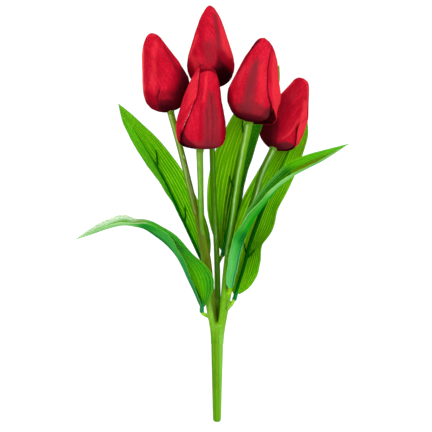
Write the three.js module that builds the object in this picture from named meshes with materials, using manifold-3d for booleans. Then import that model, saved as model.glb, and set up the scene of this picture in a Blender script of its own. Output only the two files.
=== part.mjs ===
// Bunch of artificial tulips: a moulded trunk with five branches, five wired
// stems that each carry a closed flower, and five leaves on pegs.
// Millimetres. Origin at the centre of the trunk's lower end, +Z up the trunk,
// +X to the viewer's right, +Y away from the viewer.
import * as THREE from 'three';
import ManifoldModule from 'manifold-3d';

const wasm = await ManifoldModule();
wasm.setup();
const { Manifold, Mesh } = wasm;

// ---- driving dimensions -------------------------------------------------
const TRUNK_R_END = 3.5;        // radius near the trunk's lower end
const TRUNK_R_TOP = 5.25;       // radius at the fork
const TRUNK_FLAT_R = 2.6;       // small flat in the middle of the lower end
const TRUNK_TOP_Z = 84.0;       // where the trunk ends between the branches
const BRANCH_R = 2.3;           // radius of a branch at its ball end
const BRANCH_R_ROOT = 2.9;      // radius of a branch where it leaves the trunk
const TUBE_R = 2.6;             // outer radius of a stem tube
const TUBE_BORE_R = 1.25;       // bore for the wire
const WIRE_R = 0.9;             // steel wire
const CUP_R = 2.6;              // spherical cup in the end of a stem tube
const CUP_LIP = 1.0;            // lip of the cup above the ball's centre
const SPIGOT_R = 1.75;          // thin end of the stem tube, inside the flower foot
const SPIGOT_LEN = 2.0;         // how far it reaches past the foot of the flower
const SOCKET_BORE_R = 2.05;     // bore of the flower foot
const FOOT_R = 3.4;             // outer radius of the flower foot
const PIN_R = 1.2;              // pin that carries the petals
const PIN_TOP = 8.0;            // height of the pin's end above the foot
const PETAL_T = 0.6;            // petal thickness
const PETAL_STEP = 0.8;         // how far a petal's edge steps out or in
const PETAL_HALF = 68;          // half the angle that one outer petal covers
const INNER_STEP = 3.2;         // inner whorl inside the outer one
const INNER_HALF = 64;
const CORE_STEP = 3.6;          // core inside the inner whorl
const BLADE_T = 0.5;            // leaf fabric thickness
const RIB_R = 1.5;              // leaf rib radius at its base
const RIB_R_TIP = 0.6;          // and at its end
const RIB_END = 0.86;           // where the rib ends along the leaf
const GAP = 0.3;                // clearance between pieces that lie together
const PEG_R = 1.9;              // leaf peg radius
const LEAF_CUP_R = 2.3;         // spherical cup in the leaf socket
const SOCKET_R = 3.0;           // outer radius of the leaf socket

// ---- layout: centre lines, flower axes and leaf sections, in mm ----------
// LAYOUT BEGIN
const LAYOUT = {
 "branch": {
  "1": [[-2.27, -2.0, 64.54], [-2.77, -2.2, 75.48], [-4.37, -2.8, 85.6], [-6.38, -3.2, 96.54], [-8.31, -3.4, 111.65], [-10.57, -3.6, 135.14], [-12.75, -3.6, 149.4], [-15.27, -3.6, 165.34], [-18.78, -4.2, 181.27]],
  "2": [[0.42, 3.0, 64.09], [0.34, 3.0, 75.05], [0.17, 3.6, 87.66], [0.43, 4.0, 102.82], [0.26, 4.2, 123.92], [-0.33, 4.6, 145.01], [-1.94, 5.5, 171.62]],
  "3": [[-1.94, 1.7, 64.2], [-1.85, 1.7, 75.16], [-1.94, 1.4, 86.13], [-3.37, 0.6, 98.82], [-5.21, -2.5, 115.8], [-7.2, -6.3, 135.23], [-9.7, -8.4, 149.5], [-12.44, -9.6, 163.71]],
  "4": [[1.93, -2.0, 64.54], [2.35, -2.0, 75.46], [4.03, -2.6, 88.1], [5.37, -3.0, 103.24], [6.71, -3.0, 120.02], [7.88, -3.2, 132.61], [9.47, -3.9, 146.89]],
  "5": [[2.53, 1.3, 64.24], [3.54, 1.4, 75.18], [6.24, 2.3, 90.28], [9.11, 3.0, 104.57], [12.07, 4.0, 119.71], [15.04, 5.0, 133.18], [18.02, 6.2, 145.82]]
 },
 "stem": {
  "1": [[-18.78, -4.2, 181.27], [-22.29, -5.0, 197.19], [-27.53, -6.5, 221.42], [-33.45, -7.6, 244.79]],
  "2": [[-1.94, 5.5, 171.62], [-3.04, 7.0, 195.73], [-4.06, 9.6, 229.7], [-4.66, 11.6, 259.52]],
  "3": [[-12.44, -9.6, 163.71], [-13.33, -12.5, 182.89], [-13.7, -17.0, 203.59], [-14.07, -20.6, 217.55]],
  "4": [[9.47, -3.9, 146.89], [12.88, -6.6, 167.87], [17.17, -10.6, 198.74], [21.94, -14.2, 226.93]],
  "5": [[18.02, 6.2, 145.82], [25.14, 11.0, 167.79], [32.45, 17.5, 190.8], [39.32, 24.0, 212.34]]
 },
 "bud": {
  "1": {"foot": [-38.94, -8.4, 261.03], "tip": [-54.14, -1.0, 327.05], "R": 19.8},
  "2": {"foot": [-5.01, 13.0, 282.41], "tip": [-5.88, 19.0, 352.94], "R": 20.3},
  "3": {"foot": [-13.95, -24.0, 229.13], "tip": [-8.84, -37.0, 294.56], "R": 20.7},
  "4": {"foot": [26.85, -17.5, 251.66], "tip": [37.59, -26.0, 320.24], "R": 22.0},
  "5": {"foot": [48.66, 30.0, 231.85], "tip": [73.74, 47.0, 293.15], "R": 18.8}
 },
 "leaf": {
  "1": {"keel": 1, "rows": [
   [0.0, [-9.44, 3.2, 127.76], [-9.95, 3.39, 127.75], [-8.94, 3.39, 127.75]],
   [0.05, [-11.48, 4.6, 133.61], [-12.91, 12.39, 133.78], [-6.78, 10.83, 132.13]],
   [0.11, [-14.88, 6.4, 141.17], [-16.91, 19.1, 141.51], [-5.44, 15.0, 142.21]],
   [0.21, [-21.69, 9.2, 155.93], [-24.05, 26.16, 156.36], [-6.21, 16.23, 157.36]],
   [0.31, [-28.88, 12.0, 171.6], [-31.7, 29.75, 172.09], [-10.87, 12.0, 174.32]],
   [0.41, [-36.1, 14.8, 187.36], [-40.22, 32.03, 187.72], [-18.55, 14.8, 191.78]],
   [0.51, [-43.52, 17.6, 202.75], [-49.76, 32.99, 201.91], [-27.64, 17.6, 209.24]],
   [0.62, [-52.54, 21.0, 217.81], [-60.16, 33.44, 216.01], [-39.19, 21.0, 225.86]],
   [0.73, [-61.62, 24.6, 232.11], [-68.99, 33.71, 229.95], [-51.49, 24.6, 240.52]],
   [0.84, [-70.77, 28.4, 246.24], [-77.26, 33.18, 244.45], [-64.74, 28.4, 253.13]],
   [0.93, [-78.89, 31.6, 259.56], [-82.57, 32.4, 257.88], [-75.78, 31.6, 263.18]],
   [1.0, [-85.49, 34.6, 270.76], [-85.49, 34.6, 270.76], [-85.49, 34.6, 270.76]]
  ]},
  "2": {"keel": 1, "rows": [
   [0.0, [-13.23, -6.0, 95.71], [-12.98, -6.49, 95.74], [-12.39, -6.0, 95.54]],
   [0.05, [-14.88, -7.8, 100.51], [-13.49, -13.6, 100.53], [-9.52, -9.4, 99.77]],
   [0.12, [-17.86, -10.4, 109.51], [-15.56, -20.9, 109.91], [-5.67, -13.0, 108.82]],
   [0.21, [-22.15, -12.6, 120.03], [-19.45, -25.6, 120.95], [-4.0, -14.8, 120.55]],
   [0.3, [-27.28, -14.4, 131.75], [-24.01, -28.4, 132.91], [-8.48, -15.8, 133.05]],
   [0.38, [-32.9, -15.6, 141.84], [-28.92, -29.1, 143.85], [-17.93, -16.6, 144.03]],
   [0.46, [-40.51, -16.4, 150.49], [-34.89, -26.9, 154.48], [-28.51, -11.4, 155.06]],
   [0.55, [-49.95, -16.8, 157.47], [-44.16, -25.3, 162.2], [-41.46, -7.8, 163.03]],
   [0.63, [-59.56, -17.0, 163.61], [-55.38, -25.0, 167.3], [-55.38, -7.0, 169.3]],
   [0.71, [-68.68, -17.2, 166.1], [-67.72, -25.2, 168.13], [-68.24, -7.2, 171.05]],
   [0.79, [-78.1, -17.6, 167.1], [-77.48, -24.6, 168.45], [-78.12, -9.6, 174.23]],
   [0.87, [-90.48, -18.4, 164.12], [-90.43, -23.4, 165.64], [-91.35, -13.4, 170.4]],
   [0.94, [-103.64, -19.4, 159.33], [-103.71, -22.4, 160.35], [-104.65, -17.4, 163.61]],
   [1.0, [-116.95, -20.4, 154.54], [-116.95, -20.4, 154.54], [-116.95, -20.4, 154.54]]
  ]},
  "3": {"keel": 1, "rows": [
   [0.0, [5.09, 9.0, 142.37], [4.58, 8.71, 142.37], [5.6, 9.29, 142.36]],
   [0.05, [5.79, 11.6, 147.82], [1.54, 14.1, 147.09], [8.89, 17.1, 147.36]],
   [0.12, [7.17, 14.6, 157.12], [-3.22, 15.2, 156.77], [12.9, 24.6, 157.5]],
   [0.22, [9.92, 17.6, 172.45], [-7.49, 16.6, 173.3], [17.96, 30.1, 173.47]],
   [0.32, [12.67, 19.8, 187.84], [-8.53, 18.3, 190.38], [22.15, 32.8, 189.89]],
   [0.42, [15.43, 21.2, 203.27], [-7.0, 19.7, 207.85], [25.28, 33.7, 206.34]],
   [0.52, [18.69, 21.4, 219.11], [-2.72, 19.9, 225.39], [30.56, 30.4, 223.41]],
   [0.62, [22.6, 20.0, 234.88], [4.63, 18.0, 242.47], [35.55, 24.0, 239.72]],
   [0.73, [28.02, 17.8, 252.28], [13.99, 15.8, 260.33], [40.04, 19.8, 256.68]],
   [0.84, [35.98, 15.8, 270.05], [26.76, 14.8, 277.8], [45.06, 16.8, 272.69]],
   [0.93, [44.14, 15.2, 285.85], [39.36, 14.7, 290.91], [50.64, 15.7, 287.26]],
   [1.0, [53.19, 15.6, 302.08], [53.19, 15.6, 302.08], [53.19, 15.6, 302.08]]
  ]},
  "4": {"keel": 1, "rows": [
   [0.0, [15.53, 3.6, 105.72], [15.03, 3.83, 105.7], [16.04, 3.83, 105.7]],
   [0.05, [17.59, 6.2, 112.42], [12.93, 12.5, 109.89], [23.12, 11.99, 110.09]],
   [0.12, [20.53, 9.8, 121.31], [11.77, 14.8, 121.61], [31.61, 11.8, 119.87]],
   [0.22, [24.88, 14.6, 135.84], [12.33, 19.6, 137.9], [36.84, 10.6, 134.26]],
   [0.32, [29.43, 19.6, 151.07], [14.09, 24.1, 156.14], [40.31, 12.6, 148.48]],
   [0.42, [34.71, 24.8, 165.57], [19.67, 28.8, 172.09], [50.34, 20.8, 161.66]],
   [0.52, [40.92, 30.6, 181.06], [25.65, 34.6, 189.05], [52.74, 24.6, 177.94]],
   [0.62, [47.72, 36.8, 196.71], [32.74, 40.8, 206.0], [60.58, 33.8, 192.67]],
   [0.73, [55.85, 44.0, 213.85], [42.18, 47.0, 223.04], [68.88, 43.0, 210.15]],
   [0.84, [64.45, 51.6, 231.64], [54.89, 53.6, 238.41], [76.38, 51.6, 229.71]],
   [0.93, [72.7, 57.6, 245.67], [66.93, 58.6, 250.14], [80.46, 57.6, 245.14]],
   [1.0, [80.25, 62.6, 258.18], [80.25, 62.6, 258.18], [80.25, 62.6, 258.18]]
  ]},
  "5": {"keel": -1, "rows": [
   [0.0, [11.71, -6.2, 114.3], [11.04, -6.2, 114.47], [11.47, -5.72, 114.28]],
   [0.05, [13.69, -8.4, 119.43], [8.96, -14.79, 119.72], [11.26, -0.89, 118.92]],
   [0.12, [16.01, -10.2, 128.27], [8.92, -19.2, 128.78], [11.93, -1.2, 127.92]],
   [0.21, [18.36, -9.0, 140.66], [10.2, -24.06, 142.24], [13.55, 7.35, 140.55]],
   [0.3, [23.01, -10.2, 154.04], [14.8, -25.85, 157.26], [16.92, 6.06, 157.49]],
   [0.38, [28.66, -11.2, 165.89], [21.68, -27.38, 168.8], [20.07, 2.95, 171.87]],
   [0.46, [35.64, -12.0, 177.06], [30.54, -28.28, 179.81], [25.91, -0.02, 184.33]],
   [0.55, [44.44, -12.8, 188.54], [40.57, -28.03, 191.15], [34.38, -3.98, 196.87]],
   [0.64, [54.22, -13.6, 199.35], [51.12, -27.21, 201.52], [44.95, -8.12, 208.32]],
   [0.73, [64.99, -14.4, 207.31], [62.71, -25.81, 208.96], [57.84, -14.4, 217.45]],
   [0.82, [76.56, -15.4, 213.59], [75.17, -24.04, 214.62], [72.74, -15.4, 223.56]],
   [0.91, [89.41, -16.8, 220.18], [88.53, -21.78, 220.98], [87.58, -16.8, 227.81]],
   [1.0, [109.28, -19.0, 233.18], [109.28, -19.0, 233.18], [109.28, -19.0, 233.18]]
  ]}
 },
 "peg": {
  "1": [[-7.56, -2.6, 119.16], [-7.92, 1.4, 122.77], [-8.93, 2.6, 126.01]],
  "2": [[-6.38, -3.4, 89.33], [-10.06, -4.4, 90.41], [-12.32, -5.2, 92.14], [-12.73, -5.6, 93.84]],
  "3": [[0.34, 4.6, 133.19], [2.71, 7.0, 137.0], [4.75, 8.5, 140.52]],
  "4": [[7.75, 1.0, 94.92], [11.8, 2.2, 98.38], [14.76, 3.0, 103.39]],
  "5": [[7.73, -1.6, 103.15], [9.89, -3.8, 107.48], [10.64, -5.0, 111.73]]
 }
};
// LAYOUT END

// radius of a closed flower along its height, as a share of its greatest radius
const BUD = [[0, 0.25], [0.03, 0.5], [0.08, 0.76], [0.15, 0.93], [0.23, 1], [0.30, 0.99],
  [0.40, 0.93], [0.482, 0.84], [0.63, 0.683], [0.778, 0.51], [0.888, 0.333], [0.962, 0.17], [1, 0.06]];
const BUD_ROLL = { 1: 306, 2: 309, 3: 290, 4: 243, 5: 261 };
const BUD_TURN = { 1: -1, 2: -1, 3: 1, 4: -1, 5: -1 };   // which edge of a petal lies on its neighbour
const PETAL_START = 0.024;       // where the petals begin, as a share of the flower's height
const PETAL_END = [0.985, 0.955, 0.925];

// ---- small helpers --------------------------------------------------------
const v3 = (a) => new THREE.Vector3(a[0], a[1], a[2]);
const lerp = (a, b, t) => a + (b - a) * t;
function table(rows, x) {
  if (x <= rows[0][0]) return rows[0][1];
  for (let i = 1; i < rows.length; i++) {
    if (x <= rows[i][0]) {
      return lerp(rows[i - 1][1], rows[i][1], (x - rows[i - 1][0]) / (rows[i][0] - rows[i - 1][0]));
    }
  }
  return rows[rows.length - 1][1];
}

// smooth line through points with frames that don't twist
function makePath(points) {
  const curve = new THREE.CatmullRomCurve3(points.map((p) => (p.isVector3 ? p : v3(p))), false, 'centripetal');
  curve.arcLengthDivisions = 400;
  const n = 160;
  const length = curve.getLength();
  const pos = [], tan = [], nor = [];
  for (let i = 0; i <= n; i++) {
    pos.push(curve.getPointAt(i / n));
    tan.push(curve.getTangentAt(i / n).normalize());
  }
  let side = new THREE.Vector3(1, 0, 0);
  for (let i = 0; i <= n; i++) {
    side = side.clone().addScaledVector(tan[i], -side.dot(tan[i])).normalize();
    nor.push(side);
  }
  return {
    length,
    at(s) {
      const u = Math.min(Math.max(s / length, 0), 1) * n;
      const i = Math.min(Math.floor(u), n - 1), f = u - i;
      const t = tan[i].clone().lerp(tan[i + 1], f).normalize();
      const x = nor[i].clone().lerp(nor[i + 1], f);
      x.addScaledVector(t, -x.dot(t)).normalize();
      const p = pos[i].clone().lerp(pos[i + 1], f);
      if (s < 0) p.addScaledVector(t, s);
      if (s > length) p.addScaledVector(t, s - length);
      return { p, t, x, y: new THREE.Vector3().crossVectors(t, x) };
    },
  };
}

function geometryOf(points, faces) {
  let volume = 0;
  for (const [a, b, c] of faces) {
    const p = points[a], q = points[b], r = points[c];
    volume += p.dot(new THREE.Vector3().crossVectors(q, r));
  }
  const index = [];
  for (const [a, b, c] of faces) {
    if (volume < 0) index.push(a, c, b); else index.push(a, b, c);
  }
  const g = new THREE.BufferGeometry();
  g.setAttribute('position', new THREE.Float32BufferAttribute(points.flatMap((p) => [p.x, p.y, p.z]), 3));
  g.setIndex(index);
  g.computeVertexNormals();
  return g;
}

// rings joined one to the next; a ring of one point is a pole; closed joins the last to the first
function loft(rings, closed = false) {
  const points = [], start = [], faces = [];
  for (const ring of rings) { start.push(points.length); points.push(...ring); }
  const pairs = rings.length - (closed ? 0 : 1);
  for (let k = 0; k < pairs; k++) {
    const j = (k + 1) % rings.length;
    const a = rings[k].length, b = rings[j].length, A = start[k], B = start[j];
    const n = Math.max(a, b);
    for (let i = 0; i < n; i++) {
      const i2 = (i + 1) % n;
      if (a === 1) faces.push([A, B + i, B + i2]);
      else if (b === 1) faces.push([A + i, B, A + i2]);
      else { faces.push([A + i, B + i, B + i2]); faces.push([A + i, B + i2, A + i2]); }
    }
  }
  return geometryOf(points, faces);
}

// [distance along the path, radius] pairs swept round the path; radius 0 is a pole
function sweep(path, profile, sides, closed = false, turn = 0) {
  const rings = profile.map(([s, r]) => {
    const f = path.at(s);
    if (r === 0) return [f.p];
    const ring = [];
    for (let i = 0; i < sides; i++) {
      const a = (i / sides) * Math.PI * 2 + turn;
      ring.push(f.p.clone().addScaledVector(f.x, r * Math.cos(a)).addScaledVector(f.y, r * Math.sin(a)));
    }
    return ring;
  });
  return loft(rings, closed);
}

// rounded end: [distance, radius] pairs of a quarter circle
function dome(s, r, dir, steps = 3) {
  const rows = [];
  for (let i = 1; i <= steps; i++) {
    const a = (i / steps) * Math.PI / 2;
    rows.push([s + dir * r * Math.sin(a), i === steps ? 0 : r * Math.cos(a)]);
  }
  return rows;
}

function toManifold(g) {
  return new Manifold(new Mesh({
    numProp: 3,
    vertProperties: new Float32Array(g.attributes.position.array),
    triVerts: new Uint32Array(g.index.array),
  }));
}
function union(list) {
  const m = Manifold.union(list.map(toManifold));
  const mesh = m.getMesh();
  const g = new THREE.BufferGeometry();
  const pos = [];
  for (let i = 0; i < mesh.numVert; i++) {
    for (let k = 0; k < 3; k++) pos.push(mesh.vertProperties[i * mesh.numProp + k]);
  }
  g.setAttribute('position', new THREE.Float32BufferAttribute(pos, 3));
  g.setIndex(Array.from(mesh.triVerts));
  g.computeVertexNormals();
  return g;
}

const bunch = new THREE.Group();
bunch.name = 'artificial_tulip_bunch';
function add(name, geometry, colour, roughness = 0.5, metalness = 0) {
  const mesh = new THREE.Mesh(geometry, new THREE.MeshStandardMaterial({ color: colour, roughness, metalness }));
  mesh.name = name;
  bunch.add(mesh);
  return mesh;
}

// ---- moulded trunk, branches and leaf pegs --------------------------------
{
  const parts = [];
  const trunk = makePath([[0, 0, 0], [0.0, 0, 30], [0.1, 0, 60], [0.2, 0, TRUNK_TOP_Z]]);
  const L = trunk.length;
  parts.push(sweep(trunk, [[0, 0], [0, TRUNK_FLAT_R], [0.35, 3.15], [1.2, TRUNK_R_END],
    [L * 0.5, lerp(TRUNK_R_END, TRUNK_R_TOP, 0.45)], [L - 3.0, TRUNK_R_TOP],
    [L - 1.0, 4.0], [L, 2.2], [L + 0.4, 0]], 12));
  for (const k of ['1', '2', '3', '4', '5']) {
    const path = makePath(LAYOUT.branch[k]);
    const n = 6, s = path.length;
    const profile = [[0, 0], [0, 2.4]];
    for (let i = 1; i <= n; i++) profile.push([(s * i) / n, lerp(BRANCH_R_ROOT, BRANCH_R, Math.min(1, i / n * 1.15))]);
    profile.push(...dome(s, BRANCH_R, 1));
    parts.push(sweep(path, profile, 8));
    const peg = makePath(LAYOUT.peg[k]);
    const e = peg.length;
    parts.push(sweep(peg, [[0, 0], [0, 1.5], [e * 0.35, PEG_R], [e * 0.7, PEG_R], [e, PEG_R], ...dome(e, PEG_R, 1)], 7));
  }
  add('main_stem', union(parts), 0x6fae1c, 0.35);
}

// ---- stems ------------------------------------------------------------------
const FLARE = { 1: 2.7, 2: 2.5, 3: 2.6, 4: 3.0, 5: 2.9 };
for (const k of ['1', '2', '3', '4', '5']) {
  const bud = LAYOUT.bud[k];
  const foot = v3(bud.foot), tip = v3(bud.tip);
  const axis = tip.clone().sub(foot).normalize();
  const line = [...LAYOUT.stem[k].map(v3), foot.clone().addScaledVector(axis, -3), foot.clone().addScaledVector(axis, 6)];
  const path = makePath(line);
  const top = path.length - 6;               // the foot of the flower
  const shoulder = top - 2.6;
  const outer = [[CUP_LIP, 2.5], [CUP_LIP + 0.4, 2.75]];
  const n = 7;
  for (let i = 1; i < n; i++) outer.push([lerp(3, shoulder, i / n), lerp(TUBE_R, FLARE[k], Math.pow(i / n, 6))]);
  outer.push([shoulder, FLARE[k]], [shoulder, SPIGOT_R], [top + SPIGOT_LEN, SPIGOT_R]);
  const inner = [[top + SPIGOT_LEN, TUBE_BORE_R]];
  for (let i = n - 1; i >= 1; i--) inner.push([lerp(3, shoulder, i / n), TUBE_BORE_R]);
  inner.push([Math.sqrt(CUP_R * CUP_R - TUBE_BORE_R * TUBE_BORE_R), TUBE_BORE_R], [1.9, 1.78], [1.45, 2.16], [CUP_LIP, 2.4]);
  add(`stem_tube_${k}`, sweep(path, [...outer, ...inner], 8, true), 0x7d9a2c, 0.3);
  const wire = [[3.1, 0], [3.1, WIRE_R]];
  for (let i = 1; i < n; i++) wire.push([lerp(3.1, top + 1.6, i / n), WIRE_R]);
  wire.push([top + 1.6, WIRE_R], [top + 1.6, 0]);
  add(`stem_wire_${k}`, sweep(path, wire, 5), 0x8b8d90, 0.35, 0.9);
}

// ---- flowers ------------------------------------------------------------------
for (const k of ['1', '2', '3', '4', '5']) {
  const bud = LAYOUT.bud[k];
  const foot = v3(bud.foot), tip = v3(bud.tip);
  const height = foot.distanceTo(tip);
  const axis = tip.clone().sub(foot).normalize();
  const right = new THREE.Vector3(1, 0, 0).addScaledVector(axis, -axis.x).normalize();
  const away = new THREE.Vector3().crossVectors(axis, right);
  const R = bud.R;
  const place = (r, h, deg) => {
    const a = THREE.MathUtils.degToRad(deg);
    return foot.clone().addScaledVector(axis, h)
      .addScaledVector(right, r * Math.cos(a)).addScaledVector(away, r * Math.sin(a));
  };
  const lathe = (rows, sides, closed = false) => loft(rows.map(([h, r]) => (r === 0
    ? [place(0, h, 0)]
    : Array.from({ length: sides }, (_, i) => place(r, h, (i / sides) * 360)))), closed);

  // foot of the flower: cap over the stem's thin end, with the pin above it
  add(`receptacle_${k}`, lathe([[2.4, 0], [2.4, SOCKET_BORE_R], [-2.2, SOCKET_BORE_R], [-2.2, FOOT_R - 0.7], [-1.2, FOOT_R - 0.2],
    [0.2, FOOT_R], [2.2, FOOT_R], [3.5, 2.6], [3.6, PIN_R], [PIN_TOP, PIN_R], [PIN_TOP, 0]], 9), 0x5f8f1f, 0.4);

  const outerR = (t) => R * table(BUD, t);
  const innerR = (t) => Math.min(outerR(t) - INNER_STEP, 5 + (t * height - 4.4) * 2.0);
  // one curved petal: radius(t) is its middle surface
  function petal(radius, t0, t1, centre, halfMax, rows, cols) {
    const half = (t) => {
      const u = (t - t0) / (t1 - t0);
      return halfMax * table([[0, 1], [0.62, 1], [0.76, 0.9], [0.86, 0.76], [0.94, 0.6], [1, 0.42]], u);
    };
    const face = (side) => {
      const grid = [];
      for (let i = 0; i <= rows; i++) {
        const u = i / rows;
        const t = lerp(t0, t1, u < 0.5 ? 0.30 * u / 0.5 : 0.30 + 0.70 * (u - 0.5) / 0.5);
        const e = 0.004;
        const dr = radius(Math.min(1, t + e)) - radius(Math.max(0, t - e));
        const dh = (Math.min(1, t + e) - Math.max(0, t - e)) * height;
        const m = Math.hypot(dr, dh), nr = dh / m, nh = -dr / m;
        const row = [];
        for (let j = 0; j <= cols; j++) {
          const w = (j / cols) * 2 - 1;
          const step = PETAL_STEP * Math.min(1, 0.25 + t / 0.1);       // the edges lie flatter near the foot
          const d = BUD_TURN[k] * step * w * half(t) / halfMax + side * PETAL_T / 2;
          row.push(place(Math.max(0.5, radius(t) + nr * d), t * height + nh * d, centre + w * half(t)));
        }
        grid.push(row);
      }
      return grid;
    };
    return slab(face(1), face(-1));
  }
  for (let i = 0; i < 3; i++) {
    add(`outer_petal_${k}${'abc'[i]}`, petal(outerR, PETAL_START, PETAL_END[i], BUD_ROLL[k] + 120 * i, PETAL_HALF, 8, 6),
      0xd8062b, 0.8);
  }
  const whorl = [0, 1, 2].map((i) => petal(innerR, 4.5 / height, [0.86, 0.84, 0.82][i], BUD_ROLL[k] + 60 + 120 * i, INNER_HALF, 4, 4));
  whorl.push(lathe([[4.0, 1.5], [4.0, 5.6], [5.0, 6.2], [5.0, 1.5]], 8, true));
  add(`inner_petals_${k}`, union(whorl), 0xb00524, 0.8);
  const core = [[PIN_TOP + 0.5, 0], [PIN_TOP + 0.5, 1.55], [6.8, 1.55]];
  const h0 = 6.8, h1 = 0.74 * height;
  for (let i = 0; i <= 5; i++) {
    const h = lerp(h0, h1, i / 5);
    core.push([h, Math.max(1.9, (innerR(h / height) - CORE_STEP) * (i === 5 ? 0.6 : 1))]);
  }
  core.push([h1 + 1.0, 0]);
  add(`bud_core_${k}`, lathe(core, 8), 0xe9e4d8, 0.9);
}

// two matching grids of points joined round their edges into one thin closed solid
function slab(front, back) {
  const rows = front.length, cols = front[0].length;
  const points = [...front.flat(), ...back.flat()];
  const n = rows * cols, faces = [];
  const F = (i, j) => i * cols + j, B = (i, j) => n + i * cols + j;
  for (let i = 0; i < rows - 1; i++) {
    for (let j = 0; j < cols - 1; j++) {
      faces.push([F(i, j), F(i, j + 1), F(i + 1, j + 1)], [F(i, j), F(i + 1, j + 1), F(i + 1, j)]);
      faces.push([B(i, j), B(i + 1, j + 1), B(i, j + 1)], [B(i, j), B(i + 1, j), B(i + 1, j + 1)]);
    }
  }
  const edge = [];
  for (let j = 0; j < cols; j++) edge.push([0, j]);
  for (let i = 1; i < rows; i++) edge.push([i, cols - 1]);
  for (let j = cols - 2; j >= 0; j--) edge.push([rows - 1, j]);
  for (let i = rows - 2; i > 0; i--) edge.push([i, 0]);
  for (let e = 0; e < edge.length; e++) {
    const [i, j] = edge[e], [k, l] = edge[(e + 1) % edge.length];
    faces.push([F(i, j), B(k, l), F(k, l)], [F(i, j), B(i, j), B(k, l)]);
  }
  return geometryOf(points, faces);
}

// ---- leaves ---------------------------------------------------------------------
for (const k of ['1', '2', '3', '4', '5']) {
  const leaf = LAYOUT.leaf[k];
  const rows = leaf.rows.map(([v, s, a, b]) => ({ v, s: v3(s), a: v3(a), b: v3(b) }));
  const count = rows.length;
  rows.forEach((row, i) => {
    const p = rows[Math.max(0, i - 1)].s, q = rows[Math.min(count - 1, i + 1)].s;
    row.t = q.clone().sub(p).normalize();
  });
  rows.forEach((row, i) => {
    if (row.a.distanceTo(row.s) < 1) {
      const near = rows[i === 0 ? 1 : i - 1];
      row.a = row.s.clone().addScaledVector(near.a.clone().sub(near.s).normalize(), 0.9);
      row.b = row.s.clone().addScaledVector(near.b.clone().sub(near.s).normalize(), 0.9);
    }
    const perp = (v) => {
      const d = v.clone().sub(row.s);
      return d.addScaledVector(row.t, -d.dot(row.t)).normalize();
    };
    const a = perp(row.a), b = perp(row.b);
    // normals of the two halves on the rib's side
    const across = b.clone().sub(a).normalize();
    row.n = new THREE.Vector3().crossVectors(across, row.t).normalize().multiplyScalar(leaf.keel);
    row.na = new THREE.Vector3().crossVectors(a.clone().negate(), row.t).normalize().multiplyScalar(leaf.keel);
    row.nb = new THREE.Vector3().crossVectors(b, row.t).normalize().multiplyScalar(leaf.keel);
    row.fold = a.dot(row.nb);
    row.m = row.na.clone().add(row.nb).normalize();
    row.cos = Math.max(0.35, row.m.dot(row.na));
    row.ua = a; row.ub = b;
  });
  const body = rows.slice(1);                  // the fabric starts past the socket
  const face = (side) => body.map((row) => {
    const d = side * BLADE_T / 2;
    const mid = (p, q) => p.clone().lerp(q, 0.5);
    return [
      row.a.clone().addScaledVector(row.na, d),
      mid(row.a, row.s).addScaledVector(row.na, d),
      row.s.clone().addScaledVector(row.m, d / Math.max(0.6, row.cos)),
      mid(row.b, row.s).addScaledVector(row.nb, d),
      row.b.clone().addScaledVector(row.nb, d),
    ];
  });
  add(`leaf_blade_${k}`, slab(face(1), face(-1)), 0x2f8f12, 0.75);

  // rib with its socket and side ribs
  const ribR = (v) => lerp(RIB_R, RIB_R_TIP, Math.min(1, v / RIB_END));
  const at = (v) => {
    let i = 1;
    while (i < count - 1 && rows[i].v < v) i++;
    const p = rows[i - 1], q = rows[i], f = (v - p.v) / (q.v - p.v);
    const mix = (x) => p[x].clone().lerp(q[x], f);
    return { s: mix('s'), a: mix('a'), b: mix('b'), t: mix('t').normalize(), m: mix('m').normalize(), na: mix('na').normalize(),
      nb: mix('nb').normalize(), ua: mix('ua').normalize(), ub: mix('ub').normalize(), cos: lerp(p.cos, q.cos, f), fold: lerp(p.fold, q.fold, f) };
  };
  const ribAt = (v) => {
    const c = at(v);
    const off = (ribR(v) + BLADE_T / 2 + GAP + 0.3) / (c.fold > 0 ? c.cos : 1);
    return c.s.clone().addScaledVector(c.m, off);
  };
  const hinge = v3(LAYOUT.peg[k][LAYOUT.peg[k].length - 1]);
  const line = [hinge];
  for (const row of rows.slice(1)) if (row.v < RIB_END - 0.03) line.push(ribAt(row.v));
  line.push(ribAt(RIB_END));
  const path = makePath(line);
  const L = path.length;
  const cup = [[4.2, 0], [4.2, 1.2], [Math.sqrt(LEAF_CUP_R ** 2 - 1.44), 1.2], [1.5, 1.76], [1.05, 2.06]];
  const profile = [...cup, [1.05, 2.45], [1.4, SOCKET_R - 0.1], [3.6, SOCKET_R - 0.2], [5.6, 2.1], [7.6, RIB_R]];
  const n = 8;
  for (let i = 1; i <= n; i++) {
    const s = lerp(7.6, L, i / n);
    profile.push([s, ribR((s / L) * RIB_END)]);
  }
  profile.push(...dome(L, RIB_R_TIP, 1, 2));
  const parts = [sweep(path, profile, 7)];
  for (const v of [0.34, 0.66]) {
    for (const side of ['a', 'b']) {
      const c0 = ribAt(v), c1 = at(v + 0.025), c2 = at(v + 0.055);
      const r = 0.5, lift = BLADE_T / 2 + GAP + r;
      const p1 = c1.s.clone().addScaledVector(c1['u' + side], 2.2).addScaledVector(c1['n' + side], lift + 0.15);
      const p2 = c2.s.clone().addScaledVector(c2['u' + side], 4.4).addScaledVector(c2['n' + side], lift + 0.15);
      const side_path = makePath([c0, p1, p2]);
      const e = side_path.length;
      parts.push(sweep(side_path, [[0, 0], [0, r], [e * 0.5, r], [e, r * 0.8], [e + 0.4, 0]], 5));
    }
  }
  add(`leaf_spine_${k}`, union(parts), 0x0d4a1c, 0.35);
}

export default bunch;
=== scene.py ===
import bpy
import math
import numpy as np
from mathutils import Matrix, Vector, noise


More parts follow.
